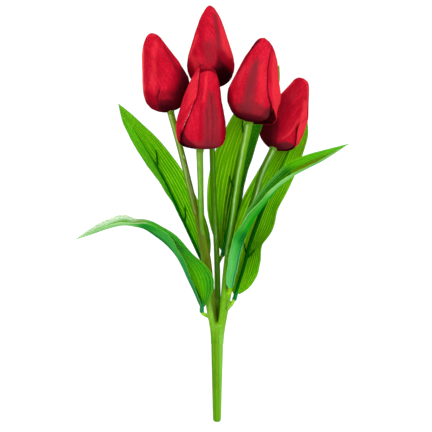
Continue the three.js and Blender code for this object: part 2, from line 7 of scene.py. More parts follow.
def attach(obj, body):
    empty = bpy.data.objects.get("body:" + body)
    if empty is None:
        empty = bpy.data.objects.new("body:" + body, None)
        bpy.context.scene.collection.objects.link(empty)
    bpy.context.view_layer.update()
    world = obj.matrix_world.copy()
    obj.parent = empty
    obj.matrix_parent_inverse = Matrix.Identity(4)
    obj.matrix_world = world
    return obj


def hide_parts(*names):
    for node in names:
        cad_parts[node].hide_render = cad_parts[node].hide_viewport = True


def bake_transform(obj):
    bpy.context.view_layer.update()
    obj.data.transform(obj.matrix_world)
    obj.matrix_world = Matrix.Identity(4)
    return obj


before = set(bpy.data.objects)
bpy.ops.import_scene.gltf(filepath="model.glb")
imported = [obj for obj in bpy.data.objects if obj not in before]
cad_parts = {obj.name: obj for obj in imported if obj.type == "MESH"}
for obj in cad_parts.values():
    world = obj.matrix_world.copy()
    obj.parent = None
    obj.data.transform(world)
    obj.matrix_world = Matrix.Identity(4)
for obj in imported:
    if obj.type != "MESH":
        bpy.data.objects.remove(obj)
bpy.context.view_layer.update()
MM = 0.001
RNG = np.random.default_rng(7)

# centre lines, flower axes and leaf sections, in mm
# LAYOUT BEGIN
LAYOUT = {
 "branch": {
  "1": [[-2.27, -2.0, 64.54], [-2.77, -2.2, 75.48], [-4.37, -2.8, 85.6], [-6.38, -3.2, 96.54], [-8.31, -3.4, 111.65], [-10.57, -3.6, 135.14], [-12.75, -3.6, 149.4], [-15.27, -3.6, 165.34], [-18.78, -4.2, 181.27]],
  "2": [[0.42, 3.0, 64.09], [0.34, 3.0, 75.05], [0.17, 3.6, 87.66], [0.43, 4.0, 102.82], [0.26, 4.2, 123.92], [-0.33, 4.6, 145.01], [-1.94, 5.5, 171.62]],
  "3": [[-1.94, 1.7, 64.2], [-1.85, 1.7, 75.16], [-1.94, 1.4, 86.13], [-3.37, 0.6, 98.82], [-5.21, -2.5, 115.8], [-7.2, -6.3, 135.23], [-9.7, -8.4, 149.5], [-12.44, -9.6, 163.71]],
  "4": [[1.93, -2.0, 64.54], [2.35, -2.0, 75.46], [4.03, -2.6, 88.1], [5.37, -3.0, 103.24], [6.71, -3.0, 120.02], [7.88, -3.2, 132.61], [9.47, -3.9, 146.89]],
  "5": [[2.53, 1.3, 64.24], [3.54, 1.4, 75.18], [6.24, 2.3, 90.28], [9.11, 3.0, 104.57], [12.07, 4.0, 119.71], [15.04, 5.0, 133.18], [18.02, 6.2, 145.82]]
 },
 "stem": {
  "1": [[-18.78, -4.2, 181.27], [-22.29, -5.0, 197.19], [-27.53, -6.5, 221.42], [-33.45, -7.6, 244.79]],
  "2": [[-1.94, 5.5, 171.62], [-3.04, 7.0, 195.73], [-4.06, 9.6, 229.7], [-4.66, 11.6, 259.52]],
  "3": [[-12.44, -9.6, 163.71], [-13.33, -12.5, 182.89], [-13.7, -17.0, 203.59], [-14.07, -20.6, 217.55]],
  "4": [[9.47, -3.9, 146.89], [12.88, -6.6, 167.87], [17.17, -10.6, 198.74], [21.94, -14.2, 226.93]],
  "5": [[18.02, 6.2, 145.82], [25.14, 11.0, 167.79], [32.45, 17.5, 190.8], [39.32, 24.0, 212.34]]
 },
 "bud": {
  "1": {"foot": [-38.94, -8.4, 261.03], "tip": [-54.14, -1.0, 327.05], "R": 19.8},
  "2": {"foot": [-5.01, 13.0, 282.41], "tip": [-5.88, 19.0, 352.94], "R": 20.3},
  "3": {"foot": [-13.95, -24.0, 229.13], "tip": [-8.84, -37.0, 294.56], "R": 20.7},
  "4": {"foot": [26.85, -17.5, 251.66], "tip": [37.59, -26.0, 320.24], "R": 22.0},
  "5": {"foot": [48.66, 30.0, 231.85], "tip": [73.74, 47.0, 293.15], "R": 18.8}
 },
 "leaf": {
  "1": {"keel": 1, "rows": [
   [0.0, [-9.44, 3.2, 127.76], [-9.95, 3.39, 127.75], [-8.94, 3.39, 127.75]],
   [0.05, [-11.48, 4.6, 133.61], [-12.91, 12.39, 133.78], [-6.78, 10.83, 132.13]],
   [0.11, [-14.88, 6.4, 141.17], [-16.91, 19.1, 141.51], [-5.44, 15.0, 142.21]],
   [0.21, [-21.69, 9.2, 155.93], [-24.05, 26.16, 156.36], [-6.21, 16.23, 157.36]],
   [0.31, [-28.88, 12.0, 171.6], [-31.7, 29.75, 172.09], [-10.87, 12.0, 174.32]],
   [0.41, [-36.1, 14.8, 187.36], [-40.22, 32.03, 187.72], [-18.55, 14.8, 191.78]],
   [0.51, [-43.52, 17.6, 202.75], [-49.76, 32.99, 201.91], [-27.64, 17.6, 209.24]],
   [0.62, [-52.54, 21.0, 217.81], [-60.16, 33.44, 216.01], [-39.19, 21.0, 225.86]],
   [0.73, [-61.62, 24.6, 232.11], [-68.99, 33.71, 229.95], [-51.49, 24.6, 240.52]],
   [0.84, [-70.77, 28.4, 246.24], [-77.26, 33.18, 244.45], [-64.74, 28.4, 253.13]],
   [0.93, [-78.89, 31.6, 259.56], [-82.57, 32.4, 257.88], [-75.78, 31.6, 263.18]],
   [1.0, [-85.49, 34.6, 270.76], [-85.49, 34.6, 270.76], [-85.49, 34.6, 270.76]]
  ]},
  "2": {"keel": 1, "rows": [
   [0.0, [-13.23, -6.0, 95.71], [-12.98, -6.49, 95.74], [-12.39, -6.0, 95.54]],
   [0.05, [-14.88, -7.8, 100.51], [-13.49, -13.6, 100.53], [-9.52, -9.4, 99.77]],
   [0.12, [-17.86, -10.4, 109.51], [-15.56, -20.9, 109.91], [-5.67, -13.0, 108.82]],
   [0.21, [-22.15, -12.6, 120.03], [-19.45, -25.6, 120.95], [-4.0, -14.8, 120.55]],
   [0.3, [-27.28, -14.4, 131.75], [-24.01, -28.4, 132.91], [-8.48, -15.8, 133.05]],
   [0.38, [-32.9, -15.6, 141.84], [-28.92, -29.1, 143.85], [-17.93, -16.6, 144.03]],
   [0.46, [-40.51, -16.4, 150.49], [-34.89, -26.9, 154.48], [-28.51, -11.4, 155.06]],
   [0.55, [-49.95, -16.8, 157.47], [-44.16, -25.3, 162.2], [-41.46, -7.8, 163.03]],
   [0.63, [-59.56, -17.0, 163.61], [-55.38, -25.0, 167.3], [-55.38, -7.0, 169.3]],
   [0.71, [-68.68, -17.2, 166.1], [-67.72, -25.2, 168.13], [-68.24, -7.2, 171.05]],
   [0.79, [-78.1, -17.6, 167.1], [-77.48, -24.6, 168.45], [-78.12, -9.6, 174.23]],
   [0.87, [-90.48, -18.4, 164.12], [-90.43, -23.4, 165.64], [-91.35, -13.4, 170.4]],
   [0.94, [-103.64, -19.4, 159.33], [-103.71, -22.4, 160.35], [-104.65, -17.4, 163.61]],
   [1.0, [-116.95, -20.4, 154.54], [-116.95, -20.4, 154.54], [-116.95, -20.4, 154.54]]
  ]},
  "3": {"keel": 1, "rows": [
   [0.0, [5.09, 9.0, 142.37], [4.58, 8.71, 142.37], [5.6, 9.29, 142.36]],
   [0.05, [5.79, 11.6, 147.82], [1.54, 14.1, 147.09], [8.89, 17.1, 147.36]],
   [0.12, [7.17, 14.6, 157.12], [-3.22, 15.2, 156.77], [12.9, 24.6, 157.5]],
   [0.22, [9.92, 17.6, 172.45], [-7.49, 16.6, 173.3], [17.96, 30.1, 173.47]],
   [0.32, [12.67, 19.8, 187.84], [-8.53, 18.3, 190.38], [22.15, 32.8, 189.89]],
   [0.42, [15.43, 21.2, 203.27], [-7.0, 19.7, 207.85], [25.28, 33.7, 206.34]],
   [0.52, [18.69, 21.4, 219.11], [-2.72, 19.9, 225.39], [30.56, 30.4, 223.41]],
   [0.62, [22.6, 20.0, 234.88], [4.63, 18.0, 242.47], [35.55, 24.0, 239.72]],
   [0.73, [28.02, 17.8, 252.28], [13.99, 15.8, 260.33], [40.04, 19.8, 256.68]],
   [0.84, [35.98, 15.8, 270.05], [26.76, 14.8, 277.8], [45.06, 16.8, 272.69]],
   [0.93, [44.14, 15.2, 285.85], [39.36, 14.7, 290.91], [50.64, 15.7, 287.26]],
   [1.0, [53.19, 15.6, 302.08], [53.19, 15.6, 302.08], [53.19, 15.6, 302.08]]
  ]},
  "4": {"keel": 1, "rows": [
   [0.0, [15.53, 3.6, 105.72], [15.03, 3.83, 105.7], [16.04, 3.83, 105.7]],
   [0.05, [17.59, 6.2, 112.42], [12.93, 12.5, 109.89], [23.12, 11.99, 110.09]],
   [0.12, [20.53, 9.8, 121.31], [11.77, 14.8, 121.61], [31.61, 11.8, 119.87]],
   [0.22, [24.88, 14.6, 135.84], [12.33, 19.6, 137.9], [36.84, 10.6, 134.26]],
   [0.32, [29.43, 19.6, 151.07], [14.09, 24.1, 156.14], [40.31, 12.6, 148.48]],
   [0.42, [34.71, 24.8, 165.57], [19.67, 28.8, 172.09], [50.34, 20.8, 161.66]],
   [0.52, [40.92, 30.6, 181.06], [25.65, 34.6, 189.05], [52.74, 24.6, 177.94]],
   [0.62, [47.72, 36.8, 196.71], [32.74, 40.8, 206.0], [60.58, 33.8, 192.67]],
   [0.73, [55.85, 44.0, 213.85], [42.18, 47.0, 223.04], [68.88, 43.0, 210.15]],
   [0.84, [64.45, 51.6, 231.64], [54.89, 53.6, 238.41], [76.38, 51.6, 229.71]],
   [0.93, [72.7, 57.6, 245.67], [66.93, 58.6, 250.14], [80.46, 57.6, 245.14]],
   [1.0, [80.25, 62.6, 258.18], [80.25, 62.6, 258.18], [80.25, 62.6, 258.18]]
  ]},
  "5": {"keel": -1, "rows": [
   [0.0, [11.71, -6.2, 114.3], [11.04, -6.2, 114.47], [11.47, -5.72, 114.28]],
   [0.05, [13.69, -8.4, 119.43], [8.96, -14.79, 119.72], [11.26, -0.89, 118.92]],
   [0.12, [16.01, -10.2, 128.27], [8.92, -19.2, 128.78], [11.93, -1.2, 127.92]],
   [0.21, [18.36, -9.0, 140.66], [10.2, -24.06, 142.24], [13.55, 7.35, 140.55]],
   [0.3, [23.01, -10.2, 154.04], [14.8, -25.85, 157.26], [16.92, 6.06, 157.49]],
   [0.38, [28.66, -11.2, 165.89], [21.68, -27.38, 168.8], [20.07, 2.95, 171.87]],
   [0.46, [35.64, -12.0, 177.06], [30.54, -28.28, 179.81], [25.91, -0.02, 184.33]],
   [0.55, [44.44, -12.8, 188.54], [40.57, -28.03, 191.15], [34.38, -3.98, 196.87]],
   [0.64, [54.22, -13.6, 199.35], [51.12, -27.21, 201.52], [44.95, -8.12, 208.32]],
   [0.73, [64.99, -14.4, 207.31], [62.71, -25.81, 208.96], [57.84, -14.4, 217.45]],
   [0.82, [76.56, -15.4, 213.59], [75.17, -24.04, 214.62], [72.74, -15.4, 223.56]],
   [0.91, [89.41, -16.8, 220.18], [88.53, -21.78, 220.98], [87.58, -16.8, 227.81]],
   [1.0, [109.28, -19.0, 233.18], [109.28, -19.0, 233.18], [109.28, -19.0, 233.18]]
  ]}
 },
 "peg": {
  "1": [[-7.56, -2.6, 119.16], [-7.92, 1.4, 122.77], [-8.93, 2.6, 126.01]],
  "2": [[-6.38, -3.4, 89.33], [-10.06, -4.4, 90.41], [-12.32, -5.2, 92.14], [-12.73, -5.6, 93.84]],
  "3": [[0.34, 4.6, 133.19], [2.71, 7.0, 137.0], [4.75, 8.5, 140.52]],
  "4": [[7.75, 1.0, 94.92], [11.8, 2.2, 98.38], [14.76, 3.0, 103.39]],
  "5": [[7.73, -1.6, 103.15], [9.89, -3.8, 107.48], [10.64, -5.0, 111.73]]
 }
}
# LAYOUT END


def nudge(kind, k, column, rows):
    """moves points of the layout by dx, dy, dz given at places along the piece; mm"""
    line = LAYOUT[kind][k]["rows"] if kind == "leaf" else LAYOUT[kind][k]
    for i, p in enumerate(line):
        at = p[0] if kind == "leaf" else i / (len(line) - 1)
        q = p[column] if kind == "leaf" else p
        for c in range(3):
            q[c] += float(np.interp(at, [r[0] for r in rows], [r[1][c] for r in rows]))


nudge("leaf", "2", 1, [(0, (0, 0, 0)), (.05, (-.6, 0, 0)), (.12, (-1.3, 0, 0)), (.21, (-1.8, 0, -.3)), (.38, (-1.8, 0, -1)), (.46, (-1.6, 0, -1.2)),
                      (.55, (-1.2, 0, -1)), (.63, (-.5, 0, -1.3)), (.79, (0, 0, -1.6)), (.94, (0, 0, -1.1)), (1, (0, 0, -.5))])
nudge("leaf", "2", 2, [(0, (0, 0, 0)), (.05, (-.6, 0, 0)), (.12, (-1.3, 0, 0)), (.21, (-1.8, 0, -.3)), (.38, (-1.8, 0, -1)), (.46, (-1.6, 0, -1.2)),
                      (.55, (-1.2, 0, -.8)), (.7, (0, 0, -.4)), (1, (0, 0, -.5))])
nudge("leaf", "2", 3, [(0, (0, 0, 0)), (.05, (.8, 0, 0)), (.12, (1.6, 0, 0)), (.21, (1.2, 0, 0)), (.3, (-.5, 0, -1.2)), (.38, (-2.2, 0, -2.2)),
                      (.46, (-2, 0, -1.6)), (.55, (-1, 0, -.5)), (.7, (0, 0, 0)), (1, (0, 0, -.5))])
# the rounded lobe at the foot of leaf 5 hangs over its socket
nudge("leaf", "5", 1, [(0, (0, 0, 0)), (.05, (.9, 0, 0)), (.21, (.9, 0, 0)), (.34, (0, 0, 0)), (1, (0, 0, 0))])
nudge("leaf", "5", 2, [(0, (0, 0, 0)), (.05, (-1.6, 0, 0)), (.12, (-.6, 0, 0)), (.21, (0, 0, 0)), (1, (0, 0, 0))])
nudge("leaf", "5", 3, [(0, (0, 0, 0)), (.3, (0, 0, 0)), (.38, (1.2, 0, -1.0)), (.46, (2.4, 0, -2.2)), (.55, (3.0, 0, -2.2)), (.64, (2.6, 0, -1.5)), (.73, (.6, 0, -.6)), (.82, (0, 0, 0)), (1, (0, 0, 0))])
LAYOUT["leaf"]["5"]["cloth"] = [
    [0.0, [11.3, -9.4, 112.7], [10.6, -10.0, 112.8], [11.6, -8.4, 112.9]],
    [0.018, [11.7, -9.2, 113.1], [9.8, -10.6, 113.3], [12.2, -7.2, 113.6]],
    [0.026, [13.4, -8.7, 114.6], [8.5, -12.2, 114.9], [12.6, -5.4, 114.7]],
    [0.036, [14.2, -8.4, 116.8], [7.5, -13.7, 117.1], [12.1, -3.0, 116.9]],
    *LAYOUT["leaf"]["5"]["rows"][1:]]
nudge("leaf", "4", 2, [(0, (0, 0, 0)), (.12, (-.6, 1, 0)), (.22, (-2.2, 2, 0)), (.32, (-3.8, 3.2, 0)), (.42, (-4, 2.4, 0)), (.52, (-3.2, 1, 0)), (.62, (-1, 0, 0)), (.73, (0, 0, 0)), (1, (0, 0, 0))])
nudge("leaf", "4", 3, [(0, (0, 0, 0)), (.05, (1.4, 0, 0)), (.12, (1.1, 0, 0)), (.22, (0, 0, 0)), (.32, (-1.6, 0, 0)), (.42, (-2.6, 0, 0)), (.52, (-.8, 0, 0)), (1, (0, 0, 0))])
nudge("leaf", "3", 3, [(0, (0, 0, 0)), (.62, (0, 0, 0)), (.73, (.8, 0, 0)), (.84, (2.2, 0, 0)), (.93, (2.7, 0, 0)), (1, (0, 0, 0))])
nudge("stem", "1", 0, [(0, (0, 0, 0)), (.35, (-.4, 0, 0)), (.7, (-1, 0, 0)), (1, (-1.1, 0, 0))])


def srgb(r, g, b):
    out = []
    for c in (r, g, b):
        c = c / 255
        out.append(c / 12.92 if c <= 0.04045 else ((c + 0.055) / 1.055) ** 2.4)
    return (*out, 1.0)


def lerp(a, b, t):
    return a + (b - a) * t


def smooth(e0, e1, x):
    t = np.clip((np.asarray(x, float) - e0) / (e1 - e0), 0, 1)
    return t * t * (3 - 2 * t)


def table(rows, x):
    xs = [r[0] for r in rows]
    return np.interp(x, xs, [r[1] for r in rows])


def unit(v):
    v = np.asarray(v, float)
    return v / np.maximum(np.linalg.norm(v, axis=-1, keepdims=True), 1e-12)


# ---------------------------------------------------------------- paths
class Path:
    """smooth line through points, with frames that don't twist; mm"""

    def __init__(self, points, n=400):
        P = np.array(points, float)
        out = []
        for i in range(len(P) - 1):
            p1, p2 = P[i], P[i + 1]
            p0 = P[i - 1] if i else 2 * P[0] - P[1]
            p3 = P[i + 2] if i + 2 < len(P) else 2 * P[-1] - P[-2]
            d0, d1, d2 = (max(1e-4, np.linalg.norm(b - a) ** 0.5) for a, b in ((p0, p1), (p1, p2), (p2, p3)))
            t1 = ((p1 - p0) / d0 - (p2 - p0) / (d0 + d1) + (p2 - p1) / d1) * d1
            t2 = ((p2 - p1) / d1 - (p3 - p1) / (d1 + d2) + (p3 - p2) / d2) * d1
            t = np.linspace(0, 1, 60, endpoint=i == len(P) - 2)[:, None]
            out.append(p1 + t1 * t + (-3 * p1 + 3 * p2 - 2 * t1 - t2) * t**2 + (2 * p1 - 2 * p2 + t1 + t2) * t**3)
        dense = np.concatenate(out)
        s = np.concatenate([[0], np.cumsum(np.linalg.norm(np.diff(dense, axis=0), axis=1))])
        self.length = float(s[-1])
        self.s = np.linspace(0, self.length, n)
        self.p = np.stack([np.interp(self.s, s, dense[:, k]) for k in range(3)], 1)
        self.t = unit(np.gradient(self.p, axis=0))
        side = np.array([1.0, 0, 0])
        xs = []
        for t in self.t:
            side = unit(side - t * side.dot(t))
            xs.append(side)
        self.x = np.array(xs)

    def at(self, s):
        s = np.atleast_1d(np.asarray(s, float))
        c = np.clip(s, 0, self.length)
        get = lambda a: np.stack([np.interp(c, self.s, a[:, k]) for k in range(3)], 1)
        t = unit(get(self.t))
        x = get(self.x)
        x = unit(x - t * (x * t).sum(1, keepdims=True))
        p = get(self.p) + t * (s - c)[:, None]
        return p, t, x, np.cross(t, x)


# ---------------------------------------------------------------- meshes
def make(name, verts, faces, attrs=None, material=None, flat=False):
    me = bpy.data.meshes.new(name)
    me.from_pydata((np.asarray(verts, float) * MM).tolist(), [], faces)
    me.update()
    for key, value in (attrs or {}).items():
        value = np.asarray(value, np.float32)
        if value.ndim == 1:
            a = me.attributes.new(key, "FLOAT", "POINT")
            a.data.foreach_set("value", value)
        else:
            if value.shape[1] == 3:
                value = np.concatenate([value, np.ones((len(value), 1), np.float32)], 1)
            a = me.attributes.new(key, "FLOAT_COLOR", "POINT")
            a.data.foreach_set("color", value.ravel())
    if not flat:
        me.polygons.foreach_set("use_smooth", [True] * len(me.polygons))
    ob = bpy.data.objects.new(name, me)
    bpy.context.scene.collection.objects.link(ob)
    for m in material if isinstance(material, (list, tuple)) else [material]:
        if m:
            me.materials.append(m)
    return ob


def grid_faces(n, m, wrap=False, start=0):
    faces = []
    for i in range(n - 1):
        for j in range(m if wrap else m - 1):
            k = (j + 1) % m
            faces.append((start + i * m + j, start + i * m + k, start + (i + 1) * m + k, start + (i + 1) * m + j))
    return faces


def outward(verts, faces):
    """flips the faces if the closed surface is inside out"""
    v = np.asarray(verts)
    total = 0.0
    for f in faces:
        a = v[f[0]]
        for i in range(1, len(f) - 1):
            total += a.dot(np.cross(v[f[i]], v[f[i + 1]]))
    return faces if total > 0 else [tuple(reversed(f)) for f in faces]


def tube(path, s, r, sides=20, squash=None, turn=None):
    """closed tube: rings at distances s with radii r, poles at both ends. Returns verts, faces, per-vertex s and angle"""
    s, r = np.asarray(s, float), np.asarray(r, float)
    p, t, x, y = path.at(s)
    a = np.linspace(0, 2 * math.pi, sides, endpoint=False)
    rr = r[:, None] * np.ones(sides)
    if squash is not None:
        rr = rr * (1 + squash(a[None, :], s[:, None]))
    ring = p[:, None] + x[:, None] * (rr * np.cos(a))[..., None] + y[:, None] * (rr * np.sin(a))[..., None]
    n = len(s)
    verts = np.concatenate([ring.reshape(-1, 3), p[:1], p[-1:]])
    faces = grid_faces(n, sides, wrap=True)
    lo, hi = n * sides, n * sides + 1
    for j in range(sides):
        k = (j + 1) % sides
        faces.append((lo, k, j))
        faces.append((hi, (n - 1) * sides + j, (n - 1) * sides + k))
    sv = np.concatenate([np.repeat(s, sides), s[:1], s[-1:]])
    av = np.concatenate([np.tile(a, n), [0, 0]])
    return verts, outward(verts, faces), sv, av


def nz(p, scale=1.0, seed=0.0):
    """smooth noise in about -1..1 at points in mm"""
    p = np.asarray(p, float) * scale + seed
    return np.array([noise.noise(Vector(q)) for q in p.reshape(-1, 3)]).reshape(p.shape[:-1])


def evaluated(ob):
    dg = bpy.context.evaluated_depsgraph_get()
    return bpy.data.meshes.new_from_object(ob.evaluated_get(dg), depsgraph=dg)


# ---------------------------------------------------------------- shader nodes
class Shade:
    def __init__(self, name, roughness=0.5, specular=0.5, sheen=0.0, sheen_roughness=0.5, sheen_tint=(1, 1, 1, 1), coat=0.0,
                 coat_roughness=0.1, metallic=0.0):
        self.m = bpy.data.materials.new(name)
        self.m.use_nodes = True
        self.t = self.m.node_tree
        self.t.nodes.clear()
        self.out = self.t.nodes.new("ShaderNodeOutputMaterial")
        self.b = self.t.nodes.new("ShaderNodeBsdfPrincipled")
        self.t.links.new(self.b.outputs[0], self.out.inputs["Surface"])
        for key, value in (("Roughness", roughness), ("Specular IOR Level", specular), ("Sheen Weight", sheen), ("Sheen Roughness", sheen_roughness),
                           ("Sheen Tint", sheen_tint), ("Coat Weight", coat), ("Coat Roughness", coat_roughness), ("Metallic", metallic)):
            self.b.inputs[key].default_value = value

    def put(self, socket, value):
        if isinstance(value, bpy.types.NodeSocket):
            self.t.links.new(value, socket)
        else:
            socket.default_value = value

    def attr(self, name, out="Fac"):
        n = self.t.nodes.new("ShaderNodeAttribute")
        n.attribute_name = name
        return n.outputs[out]

    def math(self, op, a, b=0.0, c=0.0, clamp=False):
        n = self.t.nodes.new("ShaderNodeMath")
        n.operation, n.use_clamp = op, clamp
        for s, v in zip(n.inputs, (a, b, c)):
            self.put(s, v)
        return n.outputs[0]

    def step(self, x, lo, hi, a=0.0, b=1.0):
        n = self.t.nodes.new("ShaderNodeMapRange")
        n.interpolation_type = "SMOOTHSTEP"
        for s, v in zip(n.inputs, (x, lo, hi, a, b)):
            self.put(s, v)
        return n.outputs[0]

    def xyz(self, x, y, z=0.0):
        n = self.t.nodes.new("ShaderNodeCombineXYZ")
        for s, v in zip(n.inputs, (x, y, z)):
            self.put(s, v)
        return n.outputs[0]

    def noise(self, vector, scale=1.0, detail=2.0, rough=0.5, distortion=0.0, out=0):
        n = self.t.nodes.new("ShaderNodeTexNoise")
        self.put(n.inputs["Vector"], vector)
        n.inputs["Scale"].default_value = scale
        n.inputs["Detail"].default_value = detail
        n.inputs["Roughness"].default_value = rough
        n.inputs["Distortion"].default_value = distortion
        return n.outputs[out]

    def mix(self, f, a, b, mode="MIX"):
        n = self.t.nodes.new("ShaderNodeMix")
        n.data_type, n.blend_type = "RGBA", mode
        self.put(n.inputs[0], f)
        self.put(n.inputs[6], a)
        self.put(n.inputs[7], b)
        return n.outputs[2]

    def ramp(self, f, stops):
        n = self.t.nodes.new("ShaderNodeValToRGB")
        while len(n.color_ramp.elements) < len(stops):
            n.color_ramp.elements.new(0.5)
        for e, (at, col) in zip(n.color_ramp.elements, stops):
            e.position = at
            e.color = col
        self.put(n.inputs[0], f)
        return n.outputs[0]

    def bump(self, height, strength=0.3, distance=0.0003, normal=None):
        n = self.t.nodes.new("ShaderNodeBump")
        n.inputs["Strength"].default_value = strength
        n.inputs["Distance"].default_value = distance
        self.put(n.inputs["Height"], height)
        if normal is not None:
            self.put(n.inputs["Normal"], normal)
        return n.outputs[0]

    def obj(self, scale=1000.0):
        """place in mm in the piece's own frame"""
        c = self.t.nodes.new("ShaderNodeTexCoord")
        n = self.t.nodes.new("ShaderNodeVectorMath")
        n.operation = "SCALE"
        n.inputs["Scale"].default_value = scale
        self.t.links.new(c.outputs["Object"], n.inputs[0])
        return n.outputs[0]

    def done(self, colour=None, roughness=None, normal=None):
        if colour is not None:
            self.put(self.b.inputs["Base Color"], colour)
        if roughness is not None:
            self.put(self.b.inputs["Roughness"], roughness)
        if normal is not None:
            self.put(self.b.inputs["Normal"], normal)
        return self.m


def petal_material(name, inner=False):
    """printed satin: red with a maroon foot, a maroon flame up the middle, fine veins and weave; over these, painted
    shade and painted highlights from the piece's attributes
    """
    s = Shade(name, roughness=0.6, specular=0.0, sheen=0.01, sheen_roughness=0.3, sheen_tint=srgb(255, 150, 150))
    u, v, x, h = s.attr("pu"), s.attr("pt"), s.attr("px"), s.attr("ph")
    ident = s.attr("pid")
    ax = s.math("ABSOLUTE", x)
    # feathered veins: they leave the middle line and run up and outwards
    q = s.math("SUBTRACT", s.math("MULTIPLY", ax, 0.9), s.math("MULTIPLY", h, 0.30))
    vein = s.noise(s.xyz(s.math("MULTIPLY", q, 1.25), s.math("MULTIPLY", h, 0.05), ident), 1.0, 3.0, 0.6)
    fine = s.noise(s.xyz(s.math("MULTIPLY", q, 3.6), s.math("MULTIPLY", h, 0.18), ident), 1.0, 2.0, 0.5)
    broad = s.noise(s.xyz(s.math("MULTIPLY", x, 0.085), s.math("MULTIPLY", h, 0.06), ident), 1.0, 2.0, 0.5)
    weave_x = s.noise(s.xyz(s.math("MULTIPLY", x, 5.0), s.math("MULTIPLY", h, 1.0), ident), 1.0, 1.0, 0.5)
    weave_y = s.noise(s.xyz(s.math("MULTIPLY", x, 1.0), s.math("MULTIPLY", h, 5.0), ident), 1.0, 1.0, 0.5)
    weave = s.math("ADD", weave_x, weave_y)
    red = s.ramp(broad, [(0.3, srgb(176, 10, 34)), (0.5, srgb(194, 17, 42)), (0.72, srgb(206, 30, 54))])
    red = s.mix(s.step(vein, 0.36, 0.62, 0.46, 0.0), red, srgb(130, 6, 26))
    red = s.mix(s.step(fine, 0.52, 0.74, 0.0, 0.24), red, srgb(222, 54, 70))
    # the cloth's grain takes the dye unevenly
    grain = s.noise(s.xyz(s.math("MULTIPLY", x, 1.15), s.math("MULTIPLY", h, 0.8), ident), 1.0, 2.0, 0.7)
    red = s.mix(s.step(grain, 0.4, 0.6, 0.34, 0.0), red, srgb(136, 8, 28))
    red = s.mix(s.step(grain, 0.54, 0.7, 0.0, 0.2), red, srgb(226, 56, 72))
    # maroon flame
    wob = s.math("MULTIPLY", s.math("SUBTRACT", vein, 0.5), 0.42)
    off = s.math("ABSOLUTE", s.math("SUBTRACT", u, s.attr("pc")))
    side = s.step(s.math("ADD", off, wob), 0.02, 0.27, 1.0, 0.0)
    red = s.mix(s.math("MULTIPLY", side, s.attr("pf")), red, srgb(110, 34, 48))

    def feather(name, amount):
        """a painted area with its edge broken up along the veins"""
        a = s.attr(name)
        return s.math("ADD", a, s.math("MULTIPLY", s.math("SUBTRACT", vein, 0.5), s.step(a, 0.02, 0.5, 0.0, amount)), clamp=True)

    # printed maroon marks (pm); then painted light on the lit parts (pl) and a painted pale sheen highlight along a rim
    # (pb)
    red = s.mix(feather("pm", 0.9), red, srgb(112, 34, 42))
    red = s.mix(feather("pl", 0.8), red, srgb(218, 46, 58))
    red = s.mix(feather("pb", 0.3), red, srgb(222, 84, 78))
    # dark foot with streaks that run up along the veins
    foot_at = s.math("DIVIDE", v, s.attr("pe"))
    foot_at = s.math("ADD", foot_at, s.math("MULTIPLY", s.math("SUBTRACT", vein, 0.5), 1.3))
    foot = s.math("MULTIPLY", s.step(foot_at, 0.25, 1.1, 1.0, 0.0), s.attr("pd"), clamp=True)
    red = s.mix(foot, red, srgb(78, 14, 24))
    # deeper red (pv), dark (ps) and near black (pk): painted shade, partly printed, on the side away from the light, in
    # slits and in creases
    tone = s.attr("pv")
    red = s.mix(s.math("MULTIPLY", tone, 0.9), red, srgb(134, 2, 24))
    shade = s.math("ADD", s.attr("ps"), s.math("MULTIPLY", s.math("SUBTRACT", vein, 0.5), s.step(s.attr("ps"), 0.02, 0.4, 0.0, 0.7)), clamp=True)
    red = s.mix(s.math("MULTIPLY", shade, 0.94), red, srgb(70, 10, 20))
    red = s.mix(feather("pk", 0.2), red, srgb(22, 4, 6))
    # worn edge: broken pale fibres
    fray = s.noise(s.xyz(s.math("MULTIPLY", x, 2.4), s.math("MULTIPLY", h, 1.3), ident), 1.0, 2.0, 0.6)
    red = s.mix(s.math("MULTIPLY", s.attr("pw"), s.step(fray, 0.5, 0.64)), red, srgb(226, 160, 156))
    # the inner petals are painted darker: painted shade inside the flower
    if inner:
        red = s.mix(0.4, red, srgb(90, 0, 16))
    height = s.math("ADD", s.math("MULTIPLY", vein, 0.9), s.math("MULTIPLY", weave, 0.25))
    rough = s.step(vein, 0.3, 0.7, 0.68, 0.52)
    return s.done(red, rough, s.bump(height, 0.5, 0.00022))


